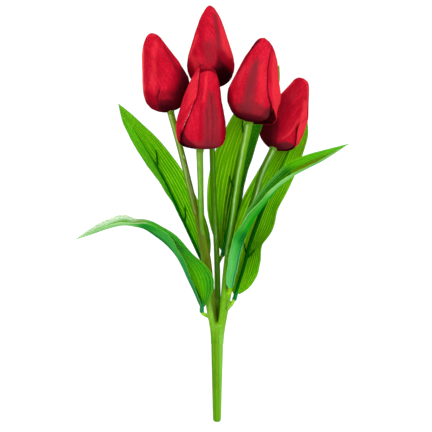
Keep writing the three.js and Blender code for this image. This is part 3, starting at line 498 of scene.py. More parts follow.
def leaf_material(name, under=False):
    """printed satin leaf: thin pale parallel veins, broken here and there, and fine cross wrinkles"""
    s = Shade(name, roughness=0.55, specular=0.0)
    u, v, h = s.attr("lu"), s.attr("lv"), s.attr("lh")
    ident = s.attr("lid")
    base = s.attr("lc_under" if under else "lc", "Color")
    au = s.math("ABSOLUTE", u)
    drift = s.noise(s.xyz(s.math("MULTIPLY", u, 2.2), s.math("MULTIPLY", v, 3.0), ident), 1.0, 2.0, 0.5)
    phase = s.math("ADD", s.math("MULTIPLY", u, 7.5 * 6.283), s.math("MULTIPLY", drift, 5.0))
    wave = s.math("SINE", phase)
    wave_2 = s.math("SINE", s.math("ADD", s.math("MULTIPLY", phase, 2.0), 1.1))
    gaps = s.noise(s.xyz(s.math("MULTIPLY", u, 9.0), s.math("MULTIPLY", v, 9.0), ident), 1.0, 1.0, 0.5)
    hair = s.noise(s.xyz(s.math("MULTIPLY", u, 34.0), s.math("MULTIPLY", v, 4.0), ident), 1.0, 1.0, 0.5)
    blot = s.noise(s.xyz(s.math("MULTIPLY", u, 1.3), s.math("MULTIPLY", h, 0.035), ident), 1.0, 2.0, 0.5)
    cross = s.noise(s.xyz(s.math("MULTIPLY", u, 4.0), s.math("MULTIPLY", h, 0.9), ident), 1.0, 1.0, 0.5)
    thin = s.math("MULTIPLY", s.math("MULTIPLY", s.step(wave, 0.74, 0.98), s.step(gaps, 0.3, 0.5)), s.attr("lk"))
    thin_2 = s.math("MULTIPLY", s.math("MULTIPLY", s.step(wave_2, 0.72, 1.0), s.step(gaps, 0.6, 0.4)), s.attr("lk"))
    valley = s.math("MULTIPLY", s.step(wave, -0.2, -0.9), 0.22)
    pale = s.mix(1.0, base, (2.2, 1.38, 2.0, 1.0) if not under else (1.5, 1.15, 1.5, 1.0), "MULTIPLY")
    pale = s.mix(0.62, pale, srgb(176, 220, 40) if not under else srgb(130, 205, 110))
    dark = s.mix(1.0, base, (0.42, 0.62, 0.55, 1.0), "MULTIPLY")
    col = s.mix(s.step(blot, 0.38, 0.72, 0.0, 0.4), base, dark)
    col = s.mix(s.step(hair, 0.35, 0.6, 0.4, 0.0), col, dark)
    col = s.mix(valley, col, dark)
    col = s.mix(s.math("MULTIPLY", thin, 0.95 if not under else 0.3), col, pale)
    col = s.mix(s.math("MULTIPLY", thin_2, 0.5 if not under else 0.1), col, pale)
    col = s.mix(s.step(cross, 0.55, 0.75, 0.0, 0.14), col, pale)
    col = s.mix(s.step(au, 0.95, 1.0, 0.0, 0.4), col, pale)
    height = s.math("ADD", s.math("MULTIPLY", hair, 0.5), s.math("ADD", s.math("MULTIPLY", thin, 0.5), s.math("MULTIPLY", cross, 0.4)))
    return s.done(col, s.step(hair, 0.3, 0.7, 0.46, 0.62), s.bump(height, 0.5, 0.00025))


def plastic_material(name, roughness=0.3, coat=0.15, streak=0.5, specular=0.12):
    """moulded plastic coloured by the piece, with faint flow streaks along its length"""
    s = Shade(name, roughness=roughness, specular=specular, coat=coat, coat_roughness=0.12)
    base = s.attr("cd", "Color")
    along, round_ = s.attr("ss"), s.attr("sa")
    flow = s.noise(s.xyz(s.math("MULTIPLY", along, 0.035), s.math("MULTIPLY", round_, 2.2), s.attr("sid")), 1.0, 3.0, 0.6)
    grain = s.noise(s.obj(), 1.4, 2.0, 0.5)
    dirt = s.noise(s.obj(), 0.16, 2.0, 0.5)
    light = s.mix(1.0, base, (1.35, 1.3, 1.25, 1.0), "MULTIPLY")
    deep = s.mix(1.0, base, (0.62, 0.68, 0.6, 1.0), "MULTIPLY")
    col = s.mix(s.step(flow, 0.5, 0.75, 0.0, streak), base, light)
    col = s.mix(s.step(dirt, 0.45, 0.75, 0.0, 0.45), col, deep)
    height = s.math("ADD", s.math("MULTIPLY", flow, 0.7), s.math("MULTIPLY", grain, 0.35))
    return s.done(col, s.step(grain, 0.3, 0.7, roughness - 0.07, roughness + 0.1), s.bump(height, 0.35, 0.00018))


def steel_material():
    s = Shade("drawn_steel", roughness=0.34, metallic=1.0)
    n = s.noise(s.obj(), 2.5, 3.0, 0.6)
    return s.done(s.ramp(n, [(0.3, srgb(120, 122, 124)), (0.7, srgb(176, 178, 180))]), s.step(n, 0.3, 0.7, 0.28, 0.5), s.bump(n, 0.3, 0.0001))


def foam_material():
    s = Shade("bead_foam", roughness=0.85, specular=0.3)
    v = s.t.nodes.new("ShaderNodeTexVoronoi")
    s.put(v.inputs["Vector"], s.obj())
    v.inputs["Scale"].default_value = 0.45
    d = v.outputs["Distance"]
    return s.done(s.ramp(d, [(0.0, srgb(150, 14, 34)), (0.6, srgb(112, 4, 22))]), None, s.bump(d, 0.5, 0.0004))


PETAL = petal_material("petal_satin")
PETAL_IN = petal_material("petal_satin_inner", inner=True)
LEAF = leaf_material("leaf_satin")
LEAF_UNDER = leaf_material("leaf_satin_under", under=True)
TRUNK = plastic_material("trunk_plastic", 0.32, 0.07, 0.5, 0.02)
STEM = plastic_material("stem_plastic", 0.26, 0.13, 0.35, 0.0)
STEM_DULL = plastic_material("stem_plastic_dull", 0.3, 0.03, 0.35, 0.0)
RIB = plastic_material("rib_plastic", 0.45, 0.0, 0.3, 0.0)
FOOT = plastic_material("foot_plastic", 0.36, 0.05, 0.4, 0.03)
STEEL = steel_material()
FOAM = foam_material()

for k in "12345":
    for node, m in ((f"stem_wire_{k}", STEEL), (f"bud_core_{k}", FOAM)):
        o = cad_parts[node]
        o.data.materials.clear() if not o.material_slots else None
        if o.material_slots:
            for sl in o.material_slots:
                sl.material = m

# ---------------------------------------------------------------- camera, backdrop, light
CAM_D = 1200.0
cam_data = bpy.data.cameras.new("camera")
cam_data.sensor_width = 36.0
cam_data.lens = 36.0 * CAM_D / (432 * 0.8413)
cam_data.clip_start, cam_data.clip_end = 0.05, 20
cam = bpy.data.objects.new("camera", cam_data)
cam.location = (-0.84 * MM, -CAM_D * MM, 173.3 * MM)
cam.rotation_euler = (math.pi / 2, 0, 0)
bpy.context.scene.collection.objects.link(cam)
bpy.context.scene.camera = cam


def backdrop():
    """floor that curves up all round into a pale wall"""
    R, n, m = 3.2, 40, 72
    prof = [(0.0, 0.0), (0.6, 0.0), (1.2, 0.0), (1.9, 0.0)]
    for i in range(1, n):
        a = i / (n - 1) * math.pi / 2
        prof.append((1.9 + 1.3 * math.sin(a), 1.3 * (1 - math.cos(a))))
    prof += [(R, 2.4), (R, 4.0)]
    verts, faces = [], []
    for r, z in prof[1:]:
        for j in range(m):
            a = 2 * math.pi * j / m
            verts.append((r * math.cos(a) / MM, r * math.sin(a) / MM, (z + FLOOR_Z) / MM))
    faces = grid_faces(len(prof) - 1, m, wrap=True)
    c = len(verts)
    verts.append((0, 0, FLOOR_Z / MM))
    faces += [(c, (j + 1) % m, j) for j in range(m)]
    s = Shade("backdrop_paper", roughness=0.9, specular=0.1)
    g = s.noise(s.obj(1.0), 3.0, 2.0, 0.5)
    m_ = s.done(s.ramp(g, [(0.3, (0.30, 0.30, 0.30, 1)), (0.7, (0.33, 0.33, 0.33, 1))]))
    # the paper glows and lights the flowers: painted light, brighter at the back than at the front towards the camera
    s.b.inputs["Emission Color"].default_value = (1, 1, 1, 1)
    split = s.t.nodes.new("ShaderNodeSeparateXYZ")
    s.put(split.inputs[0], s.obj(1.0))
    s.put(s.b.inputs["Emission Strength"], s.step(split.outputs[1], -1.3, -0.02, 0.46, 0.8))
    ob = make("backdrop", verts, faces, material=m_)
    return ob


FLOOR_Z = -0.0015
backdrop()

world = bpy.data.worlds.new("studio")
world.use_nodes = True
bg = world.node_tree.nodes["Background"]
bg.inputs[0].default_value = (1.0, 1.0, 1.0, 1)
bg.inputs[1].default_value = 0.7
bpy.context.scene.world = world
bpy.context.scene.view_settings.view_transform = "Standard"


def area(name, place, target, size, power, colour=(1, 1, 1)):
    d = bpy.data.lights.new(name, "AREA")
    d.shape, d.size, d.size_y = "RECTANGLE", size[0], size[1]
    d.energy, d.color = power, colour
    o = bpy.data.objects.new(name, d)
    o.location = place
    o.rotation_euler = (Vector(target) - Vector(place)).to_track_quat("-Z", "Y").to_euler()
    bpy.context.scene.collection.objects.link(o)
    return o


MID = (0, 0, 0.2)
area("key", (-0.62, -1.25, 0.75), MID, (0.4, 0.9), 10)
area("fill", (1.0, -1.2, 0.65), MID, (0.4, 0.9), 9)
# two narrow strips seen only as reflections: the bright lines down the stems
for strip in (area("strip_left", (-0.50, -1.25, 0.6), MID, (0.1, 0.9), 44), area("strip_right", (0.62, -1.2, 0.5), MID, (0.14, 0.9), 60)):
    strip.visible_diffuse = False
area("back_left", (-0.9, 1.0, 0.8), MID, (0.5, 0.9), 3)
area("top", (0.0, 0.0, 1.7), MID, (1.2, 1.2), 3)

# ---------------------------------------------------------------- moulded trunk
def stem_paths():
    out = {}
    for k in "12345":
        b = LAYOUT["bud"][k]
        foot, tip = np.array(b["foot"]), np.array(b["tip"])
        axis = unit(tip - foot)
        out[k] = Path([*LAYOUT["stem"][k], foot - 3 * axis, foot + 6 * axis])
    return out


BRANCH = {k: Path(LAYOUT["branch"][k]) for k in "12345"}
PEG = {k: Path(LAYOUT["peg"][k]) for k in "12345"}
STEMS = stem_paths()
TRUNK_R = [(0, 3.45), (6, 3.6), (20, 3.95), (40, 4.45), (60, 4.98), (74, 5.2), (84, 5.0)]
BRANCH_COL = {
    "1": [(0, srgb(92, 148, 6)), (0.25, srgb(104, 156, 32)), (0.45, srgb(92, 134, 10)), (0.75, srgb(90, 112, 2)), (1, srgb(88, 100, 2))],
    "2": [(0, srgb(82, 146, 0)), (0.3, srgb(72, 132, 0)), (1, srgb(66, 118, 0))],
    "3": [(0, srgb(88, 138, 6)), (0.3, srgb(86, 112, 2)), (0.7, srgb(86, 104, 0)), (1, srgb(80, 112, 0))],
    "4": [(0, srgb(92, 150, 4)), (0.3, srgb(100, 160, 12)), (0.5, srgb(94, 154, 12)), (1, srgb(68, 126, 0))],
    "5": [(0, srgb(92, 150, 4)), (0.3, srgb(108, 166, 26)), (0.55, srgb(106, 166, 20)), (1, srgb(78, 132, 2))],
}
TRUNK_COL = [(0, srgb(80, 137, 0)), (0.5, srgb(84, 139, 0)), (0.85, srgb(86, 142, 2)), (1, srgb(90, 147, 4))]


def colours(rows, x):
    xs = [r[0] for r in rows]
    return np.stack([np.interp(x, xs, [r[1][c] for r in rows]) for c in range(3)], 1)


def main_stem():
    parts = []
    trunk = Path([[0, 0, 0], [0, 0, 30], [0.1, 0, 60], [0.2, 0, 84]])
    s = np.array([0.0, 0.1, 0.35, 0.8, 1.4, 2.3, *np.linspace(3.5, 80, 40), 82, 83.4, 84.2])
    r = np.array([0.7, 1.5, 2.2, 2.75, 3.15, 3.42, *table(TRUNK_R, np.linspace(3.5, 80, 40)), 4.4, 3.2, 1.2])
    parts.append(tube(trunk, s, r, 28)[:2])
    for k in "12345":
        L = BRANCH[k].length
        s = np.concatenate([[0, 0.4], np.linspace(1.5, L - 2.6, 60), [L - 2.2, L - 1.9]])
        r = np.concatenate([[1.0, 2.0], np.interp(np.linspace(0, 1, 60), [0, 0.25, 1], [2.9, 2.75, 2.3]), [2.0, 1.0]])
        parts.append(tube(BRANCH[k], s, r, 18)[:2])
        L = PEG[k].length
        s = np.concatenate([[0], np.linspace(0.6, L + 0.2, 16), [L + 0.9, L + 1.25]])
        r = np.concatenate([[1.0], np.interp(np.linspace(0, 1, 16), [0, 0.3, 1], [2.1, 1.65, 1.5]), [1.1, 0.5]])
        parts.append(tube(PEG[k], s, r, 12)[:2])
    verts, faces, at = [], [], 0
    for v, f in parts:
        verts.append(v)
        faces += [tuple(i + at for i in q) for q in f]
        at += len(v)
    rough = make("rough_stem", np.concatenate(verts), faces)
    mod = rough.modifiers.new("r", "REMESH")
    mod.mode, mod.voxel_size, mod.adaptivity = "VOXEL", 0.42 * MM, 0.0
    mod = rough.modifiers.new("s", "SMOOTH")
    mod.factor, mod.iterations = 0.5, 9
    me = evaluated(rough)
    bpy.data.objects.remove(rough)
    v = np.empty(len(me.vertices) * 3)
    me.vertices.foreach_get("co", v)
    v = v.reshape(-1, 3) / MM
    quads = [tuple(p.vertices) for p in me.polygons]
    bpy.data.meshes.remove(me)
    # nearest branch and place along it colour the moulding
    best = np.full(len(v), 1e9)
    col = np.zeros((len(v), 3))
    ss, sa = np.zeros(len(v)), np.zeros(len(v))
    for k in "12345":
        P = BRANCH[k]
        q = P.p[::4]
        d2 = ((v[:, None] - q[None]) ** 2).sum(2)
        i = d2.argmin(1)
        d = d2[np.arange(len(v)), i]
        take = d < best
        best[take] = d[take]
        f = P.s[::4][i] / P.length
        c = colours(BRANCH_COL[k], f)
        col[take] = c[take]
        ss[take] = (P.s[::4][i] + 90)[take]
        rel = v - q[i]
        sa[take] = np.arctan2((rel * P.x[::4][i]).sum(1), rel[:, 1])[take]
    for k in "12345":
        q = PEG[k].p[::8]
        d2 = ((v[:, None] - q[None]) ** 2).sum(2)
        i = d2.argmin(1)
        d = d2[np.arange(len(v)), i]
        f = smooth(0.25, 0.7, PEG[k].s[::8][i] / PEG[k].length) * smooth(4.5, 2.5, d)
        pc = np.array(srgb(128, 182, 10) if k in "245" else srgb(70, 118, 6))[:3]
        col = col * (1 - f[:, None]) + pc * f[:, None]
    w = smooth(86, 66, v[:, 2])[:, None]
    col = col * (1 - w) + colours(TRUNK_COL, v[:, 2] / 84) * w
    # painted light and shade on the trunk: darker left side and paler right side, then a painted highlight band on the
    # right and a painted shade line left of the middle
    col = col * (1 + w * (0.16 * np.clip(v[:, 0:1] / 4.5, -1, 1) + 0.10 * np.cos(v[:, 0:1] * 2.2)))
    xn = (v[:, 0:1] - 0.1) / 4.4
    for at, paint, strength in ((smooth(0.2, 0.85, xn), srgb(122, 182, 66), 0.65), (np.exp(-(((xn + 0.42) / 0.22) ** 2)), srgb(82, 124, 0), 0.6)):
        col = col + (np.array(paint)[:3] - col) * strength * w * at
    low = v[:, 2] < 72
    ss[low] = v[low, 2]
    sa[low] = np.arctan2(v[low, 0], v[low, 1])
    # painted shade: the crotch between the branches is darker
    crotch = smooth(7.5, 1.5, np.linalg.norm((v - np.array([-0.4, 1.2, 92.0])) * np.array([1.25, 1, 0.75]), axis=1))
    col = col * (1 - 0.6 * crotch[:, None])
    ob = make("moulded_trunk", v, quads, {"cd": col, "ss": ss, "sa": sa, "sid": np.full(len(v), 3.0)}, TRUNK)
    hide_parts("main_stem")
    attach(ob, "root")
    return ob


main_stem()

# ---------------------------------------------------------------- stem sleeves
STEM_COL = {
    "1": [(0, srgb(86, 104, 4)), (0.4, srgb(82, 108, 2)), (0.7, srgb(90, 128, 4)), (0.92, srgb(102, 136, 12)), (1, srgb(110, 144, 30))],
    "2": [(0, srgb(66, 118, 0)), (0.4, srgb(62, 120, 0)), (0.62, srgb(80, 132, 0)), (1, srgb(88, 134, 4))],
    "3": [(0, srgb(76, 116, 0)), (0.3, srgb(72, 126, 0)), (0.7, srgb(84, 138, 12)), (1, srgb(106, 150, 40))],
    "4": [(0, srgb(60, 124, 0)), (0.4, srgb(70, 130, 0)), (0.8, srgb(88, 146, 2)), (1, srgb(100, 154, 18))],
    "5": [(0, srgb(54, 112, 0)), (0.5, srgb(62, 120, 0)), (1, srgb(82, 138, 8))],
}
STEM_R = {
    "1": [(0, 2.62), (0.6, 2.6), (0.9, 2.75), (1, 2.95)],
    "2": [(0, 2.5), (0.5, 2.35), (0.9, 2.4), (1, 2.6)],
    "3": [(0, 2.5), (0.5, 2.45), (0.85, 2.75), (1, 3.15)],
    "4": [(0, 2.65), (0.5, 2.7), (0.85, 3.0), (1, 3.3)],
    "5": [(0, 2.6), (0.5, 2.7), (0.85, 2.95), (1, 3.15)],
}
# painted highlight line down the front of each sleeve: place across it (-1 left, 1 right), width, strength, colour
STEM_HIGHLIGHT = {
    "1": (-.38, .3, .75, srgb(150, 178, 92)), "2": (.35, .3, .3, srgb(100, 150, 40)), "3": (-.25, .45, .45, srgb(138, 182, 84)),
    "4": (-.3, .22, .85, srgb(160, 198, 120)), "5": (.3, .26, .7, srgb(150, 196, 110)),
}


def across(v, path, s):
    """place across a rod seen from the front, -1 at its left side to 1 at its right, and how much each point faces the front"""
    c, T = path.at(s)[:2]
    rel = v - c
    size = np.maximum(np.linalg.norm(rel, axis=1), 1e-6)
    side = unit(np.stack([T[:, 2], 0 * T[:, 0], -T[:, 0]], 1))
    return (rel * side).sum(1) / size, smooth(.3, -.2, rel[:, 1] / size)


for k in "12345":
    P, B = STEMS[k], BRANCH[k]
    top = P.length - 6
    # the sleeve's mouth reaches down over the branch end
    full = Path([*(B.at(B.length - d)[0][0] for d in (14, 9, 4.5)), *LAYOUT["stem"][k],
                 np.array(LAYOUT["bud"][k]["foot"]) - 3 * unit(np.array(LAYOUT["bud"][k]["tip"]) - np.array(LAYOUT["bud"][k]["foot"])),
                 np.array(LAYOUT["bud"][k]["foot"]) + 6 * unit(np.array(LAYOUT["bud"][k]["tip"]) - np.array(LAYOUT["bud"][k]["foot"]))])
    low = 14.0                                   # where the hinge is on the full path, about
    end = full.length - 6
    mouth = low - 6.5
    rs = lambda s: table(STEM_R[k], np.clip((s - mouth) / (end - mouth), 0, 1))
    body = np.linspace(mouth + 1.2, end - 3.1, 90)
    s = np.concatenate([[mouth + 2.0, mouth + 0.3, mouth + 0.02, mouth, mouth + 0.12, mouth + 0.5], body,
                        [end - 2.75, end - 2.6, end - 2.6, end + 1.6, end + 2.0]])
    r = np.concatenate([[1.6, 2.2, 2.45, 2.62, 2.74, rs(mouth) + 0.14],
                        rs(body) + 0.14 * np.exp(-((body - mouth) / 2.2)) + 0.03 * np.sin(body * 0.23 + 2 * int(k)),
                        [rs(end) - 0.03, rs(end) - 0.25, 1.75, 1.75, 1.35]])
    oval = lambda a, s, k=k: 0.02 * np.cos(2 * a + int(k)) + 0.012 * np.cos(3 * a + s * 0.05)
    v, f, sv, av = tube(full, s, r, 36, squash=oval)
    frac = np.clip((sv - mouth) / (end - mouth), 0, 1)
    q, front = across(v, full, sv)
    col = colours(STEM_COL[k], frac)
    mid, wide, much, pale = STEM_HIGHLIGHT[k]
    # painted highlight down the front of the sleeve, stronger towards the top; then painted shade at both sides of the
    # front
    wob = .06 * np.sin(sv * .11 + int(k)) + .04 * np.sin(sv * .31)
    f_ = (much * front * np.exp(-(((q - mid - wob) / wide) ** 2)) * (.45 + .55 * smooth(.05, .5, frac)))[:, None]
    col = col * (1 - f_) + np.array(pale)[:3] * f_
    f_ = (.35 * front * smooth(.6, .95, np.abs(q)))[:, None]
    col = col * (1 - f_ * .6)
    ob = make(f"stem_sleeve_{k}", v, f, {"cd": col, "ss": sv, "sa": av, "sid": np.full(len(v), 10.0 * int(k))}, STEM_DULL if k == "2" else STEM)
    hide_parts(f"stem_tube_{k}")
    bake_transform(ob)

# ---------------------------------------------------------------- flowers
PROFILE = {
    "1": [(0, .15), (.012, .34), (.04, .56), (.09, .79), (.17, .945), (.27, 1), (.36, .99), (.47, .90), (.60, .775), (.77, .575), (.86, .455), (.92, .35), (.96, .245), (.985, .15), (1, .03)],
    "2": [(0, .15), (.012, .34), (.04, .57), (.08, .75), (.13, .88), (.2, .97), (.277, 1), (.395, .945), (.545, .785), (.69, .62), (.81, .47), (.91, .31), (.955, .21), (.985, .12), (1, .03)],
    "3": [(0, .18), (.012, .42), (.03, .66), (.07, .88), (.15, .975), (.24, 1), (.355, .955), (.45, .88), (.63, .735), (.825, .56), (.91, .44), (.965, .35), (1, .27)],
    "4": [(0, .15), (.012, .34), (.04, .56), (.10, .77), (.19, .935), (.27, 1), (.34, .995), (.445, .905), (.59, .765), (.76, .585), (.87, .43), (.93, .32), (.965, .225), (.988, .13), (1, .03)],
    "5": [(0, .15), (.012, .34), (.04, .56), (.093, .80), (.166, .97), (.27, 1), (.38, .985), (.52, .915), (.70, .68), (.85, .50), (.94, .385), (.975, .30), (.992, .17), (1, .04)],
}
# per flower: middle of petal a (deg), which edge lies on top (-1: the lower azimuth edge), sideways lean of the
# section, and the seams ca, ab, bc as (height, azimuth) rows with the lift of the edge that lies on top, in mm
# shade, climb, tone: areas of painted shade, partly printed, off the front; slit: painted shadow beside a raised edge
LOOK = {
    "1": dict(roll=306, turn=-1, shift=[(0, 0), (.37, 1.5), (.6, .2), (.75, -1.1), (.9, -1.5), (1, -.9)], ends=(1.0, .994, .997),
              flame=(.1, .05, .1, .7), foot=(.9, .10), flame_b=.2,
              shade=[], climb=[(274, 66, 24, 1.05, 1.0)], tone=[(242, 400, -.2, .3, .8), (190, 242, -.2, .22, .35), (262, 400, .3, .8, .3)],
              seams=([(0, 214), (.043, 223), (.085, 231), (.128, 237), (.17, 242), (.21, 248), (.245, 253), (.3, 253), (.4, 246), (.5, 238), (.7, 226), (1, 205)], [(0, 6), (1, 10)], [(0, 126), (1, 126)]),
              lift=([(0, .9), (.2, .8), (.27, .1), (1, 0)], [(0, .1), (1, .1)], [(0, .1), (1, .1)]), slit=[(0, .5), (.2, .5), (.27, .05), (1, 0)]),
    "2": dict(roll=309, turn=-1, shift=[(0, 0), (1, 0)], ends=(1.0, .994, .997),
              flame=(-.1, .35, .2, .8), foot=(.9, .13), flame_b=.3,
              shade=[(222, 34, .2, .05, .75)], climb=[(188, 360, 30, .62, .95)], tone=[(292, 400, .2, .8, .5)],
              seams=([(0, 249), (.2, 247), (.3, 238), (.45, 214), (.6, 196), (1, 185)],
                     [(0, 14), (1, 12)], [(0, 129), (1, 129)]),
              lift=([(0, .6), (.22, .7), (.34, .1), (1, 0)], [(0, .1), (1, .1)], [(0, .1), (1, .1)]),
              slit=[(0, 1), (.22, .9), (.3, .1), (1, 0)]),
    "3": dict(roll=290, turn=1, shift=[(0, .4), (.3, -.6), (.6, -1.0), (.9, 0), (1, .2)], ends=(.965, .988, .985),
              flame=(.02, .0, .0, 1.05), foot=(.7, .07), flame_b=.2,
              shade=[(236, 16, .2, .02, .9), (285, 50, .07, .01, .5)], climb=[(318, 60, 40, .5, .35)], tone=[(300, 400, -.2, .6, .5), (256, 282, -.2, .2, .3), (200, 256, -.2, .5, .2)],
              seams=([(0, 198), (.04, 203), (.092, 212), (.2, 224), (.28, 230), (.357, 234), (.432, 239), (.505, 242), (.568, 246), (.642, 251), (.738, 250), (.83, 245), (.9, 237), (1, 228)], [(0, 352), (1, 350)], [(0, 110), (1, 110)]),
              lift=([(0, .8), (.3, .9), (.8, .7), (1, .5)], [(0, .1), (1, .1)], [(0, .1), (1, .1)]), slit=[(0, 1), (.3, .8), (1, .55)]),
    "4": dict(roll=243, turn=-1, shift=[(0, 0), (.3, .3), (.6, 1.0), (.85, 1.8), (1, 1.0)], ends=(1.0, .94, .995),
              flame=(.17, .0, .08, .95), foot=(.8, .1), flame_b=.1,
              shade=[(200, 40, .26, .05, .5)], climb=[(262, 420, 26, .9, .2)], tone=[(190, 262, -.2, .5, .3)],
              seams=([(0, 184), (.2, 190), (.31, 196), (.4, 197), (.51, 199), (.6, 204), (.68, 205), (.77, 205), (.86, 205), (.95, 208), (1, 222)],
                     [(0, 358), (.06, 356), (.11, 350), (.145, 341), (.217, 316), (.32, 302), (.408, 298), (.522, 296), (.638, 296), (.73, 298), (.823, 304), (.895, 324), (.95, 345), (1, 352)],
                     [(0, 123), (1, 123)]),
              lift=([(0, .1), (.5, .1), (1, .1)], [(0, .9), (.26, .7), (.36, .3), (.8, .2), (1, .15)], [(0, .1), (1, .1)]), slit=[(0, 1), (.28, 1), (.4, .45), (1, .3)]),
    "5": dict(roll=261, turn=-1, shift=[(0, 0), (.3, .5), (.6, 1.2), (.9, 1.7), (1, 1.4)], ends=(1.0, .994, .997),
              flame=(-.1, .2, .2, .7), foot=(.8, .06), flame_b=.1,
              shade=[(206, 76, .6, .05, .55)], tone=[(200, 250, -.2, .6, .5)],
              seams=([(0, 201), (1, 190)], [(0, 364), (.08, 361), (.125, 349), (.16, 331), (.23, 318), (.29, 314), (.36, 316), (.44, 330), (.52, 348), (.62, 358), (1, 360)], [(0, 81), (1, 81)]),
              lift=([(0, .1), (1, .1)], [(0, .8), (.26, .8), (.36, .1), (1, 0)], [(0, .1), (1, .1)]), slit=[(0, 1), (.3, .9), (.38, .05), (1, 0)]),
}


def bud_frame(k):
    b = LAYOUT["bud"][k]
    foot, tip = np.array(b["foot"]), np.array(b["tip"])
    H = np.linalg.norm(tip - foot)
    A = (tip - foot) / H
    right = unit(np.array([1.0, 0, 0]) - A * A[0])
    away = np.cross(A, right)
    return foot, A, right, away, H, b["R"]


def bud_radius(k, t):
    """radius and its slope along the flower, smoothed; mm"""
    R, H = bud_frame(k)[5], bud_frame(k)[4]
    ts = np.linspace(0, 1, 321)
    rs = table([(a, b * R) for a, b in PROFILE[k]], ts)
    ker = np.hanning(13)
    ker /= ker.sum()
    sm = np.convolve(np.pad(rs, 6, mode="edge"), ker, "valid")
    w = smooth(0.02, 0.05, ts) * smooth(1.0, 0.985, ts)
    rs = rs * (1 - w) + sm * w
    return np.interp(t, ts, rs), np.interp(t, ts, np.gradient(rs, ts * H))


def near(a, b):
    """difference of two azimuths in degrees"""
    return (a - b + 180) % 360 - 180


def petal_surface(k, i, nu=65, nv=104, inset=0.0, inner=False, seed=0.0, wave=1.0):
    """rows up the petal, columns across it; mm. Petal i lies between its seams; the top edge of each seam follows it"""
    L = LOOK[k]
    foot, A, right, away, H, R = bud_frame(k)
    centre = L["roll"] + 120 * i
    t1 = L["ends"][i]
    u = np.linspace(-1, 1, nu)[None, :]
    vv = np.linspace(0, 1, nv)[:, None] ** 1.08
    t0 = 0.0
    if inner:
        centre += 60
        t1 = (.95, .93, .94)[i] if k == "3" else (.982, .976, .979)[i]
        t0 = 0.065
        t_tip = t1 * (1 - 0.10 * np.abs(u) ** 3)
        t = t0 + (t_tip - t0) * vv
        half = table([(0, 40), (.3, 55), (.6, 60), (1, 50)], t)
        az = centre + u * half
    else:
        turn = L["turn"]
        # seams on this petal's two sides: ca, ab, bc for petals a, b, c
        lo_s, hi_s = L["seams"][i], L["seams"][(i + 1) % 3]
        t_tip = t1 * (1 - (0.008 if k == "5" else 0.02) * np.abs(u) ** 2.5)
        if k == "3":
            # the open flower: a low front petal before an even rim that falls to the right
            t_tip = t1 * (1 - (.075, .01, .01)[i] * np.abs(u) ** 2.5 - (0, .085, 0)[i] * smooth(.1, -1, u))
        t = t0 + (t_tip - t0) * vv
        under = 11.0 + 6.0 * smooth(.5, .9, t)
        lo = centre + near(table(lo_s, t), centre) - (0 if turn < 0 else under)
        hi = centre + near(table(hi_s, t), centre) + (0 if turn > 0 else under)
        # a rounded end: the sides draw in close to the tip
        draw = smooth(t1 - 0.07, t1 + 0.01, t) * (0.22 if k == "3" and not i else 0.05)
        lo, hi = lo + (centre - lo) * draw, hi + (centre - hi) * draw
        az = lo + (hi - lo) * (u + 1) / 2
    r, sl = bud_radius(k, t)
    m = np.sqrt(1 + sl**2)
    nr, nh = 1 / m, -sl / m
    ang = np.radians(az)
    x_mm = np.radians(az - centre) * r
    pos = np.stack([x_mm, t * H, np.zeros_like(x_mm) + seed], -1)
    d = -inset + 0 * t + 0 * u
    if inner and k == "3":
        # the inner petals of the open flower close over its middle
        d = d - 4.4 * smooth(.8, .95, t)
    d = d + wave * 0.5 * nz(pos, 0.07, seed) * smooth(0, 0.12, t)
    d = d + wave * 0.2 * nz(pos * np.array([2.4, 0.5, 1]), 0.16, seed + 9) * smooth(0.03, 0.2, t)
    d = d - wave * 0.18 * np.exp(-((x_mm / 0.9) ** 2)) * smooth(0.02, 0.15, t) * smooth(0.9, 0.5, t)
    if not inner:
        turn = L["turn"]
        top, low = (lo_s, L["lift"][i]) if turn < 0 else (hi_s, L["lift"][(i + 1) % 3]), None
        e = (u if turn > 0 else -u)
        band = smooth(0.35, 1.0, e)
        lifted = table(top[1], t)
        d = d + lerp(0.17, 0.32, smooth(.1, .5, lifted)) * e * smooth(0, 0.04, t) + band * lifted
        d = d - 0.22 * smooth(0.55, 1.0, -e)
        if k == "4" and i == 1:
            # the lower corner of this petal stands away from the flower
            d = d + 4.6 * np.exp(-(((t - 0.09) / 0.065) ** 2)) * smooth(0.35, -1, u)
        if k == "3" and i == 0:
            for c_az, a0, a1, deep in ((284.5, .06, .46, .5), (296.5, .1, .62, .42)):
                d = d - deep * np.exp(-((near(az, c_az) / 1.7) ** 2)) * smooth(a0, a0 + .08, t) * smooth(a1, a1 - .14, t)
    rr = np.maximum(0.25, r + nr * d)
    hh = t * H + nh * d
    sh = table(L["shift"], t)
    P = foot + A * hh[..., None] + right * (rr * np.cos(ang) + sh)[..., None] + away * (rr * np.sin(ang))[..., None]
    return P, (az - centre) / 70.0, t, x_mm, az


def front_view(P):
    """where points in mm lie in the front view; one step is 0.84 mm"""
    s = CAM_D / (CAM_D + P[..., 1])
    return 216 + (P[..., 0] + .84) / .8413 * s, 216 - (P[..., 2] - 173.3) / .8413 * s


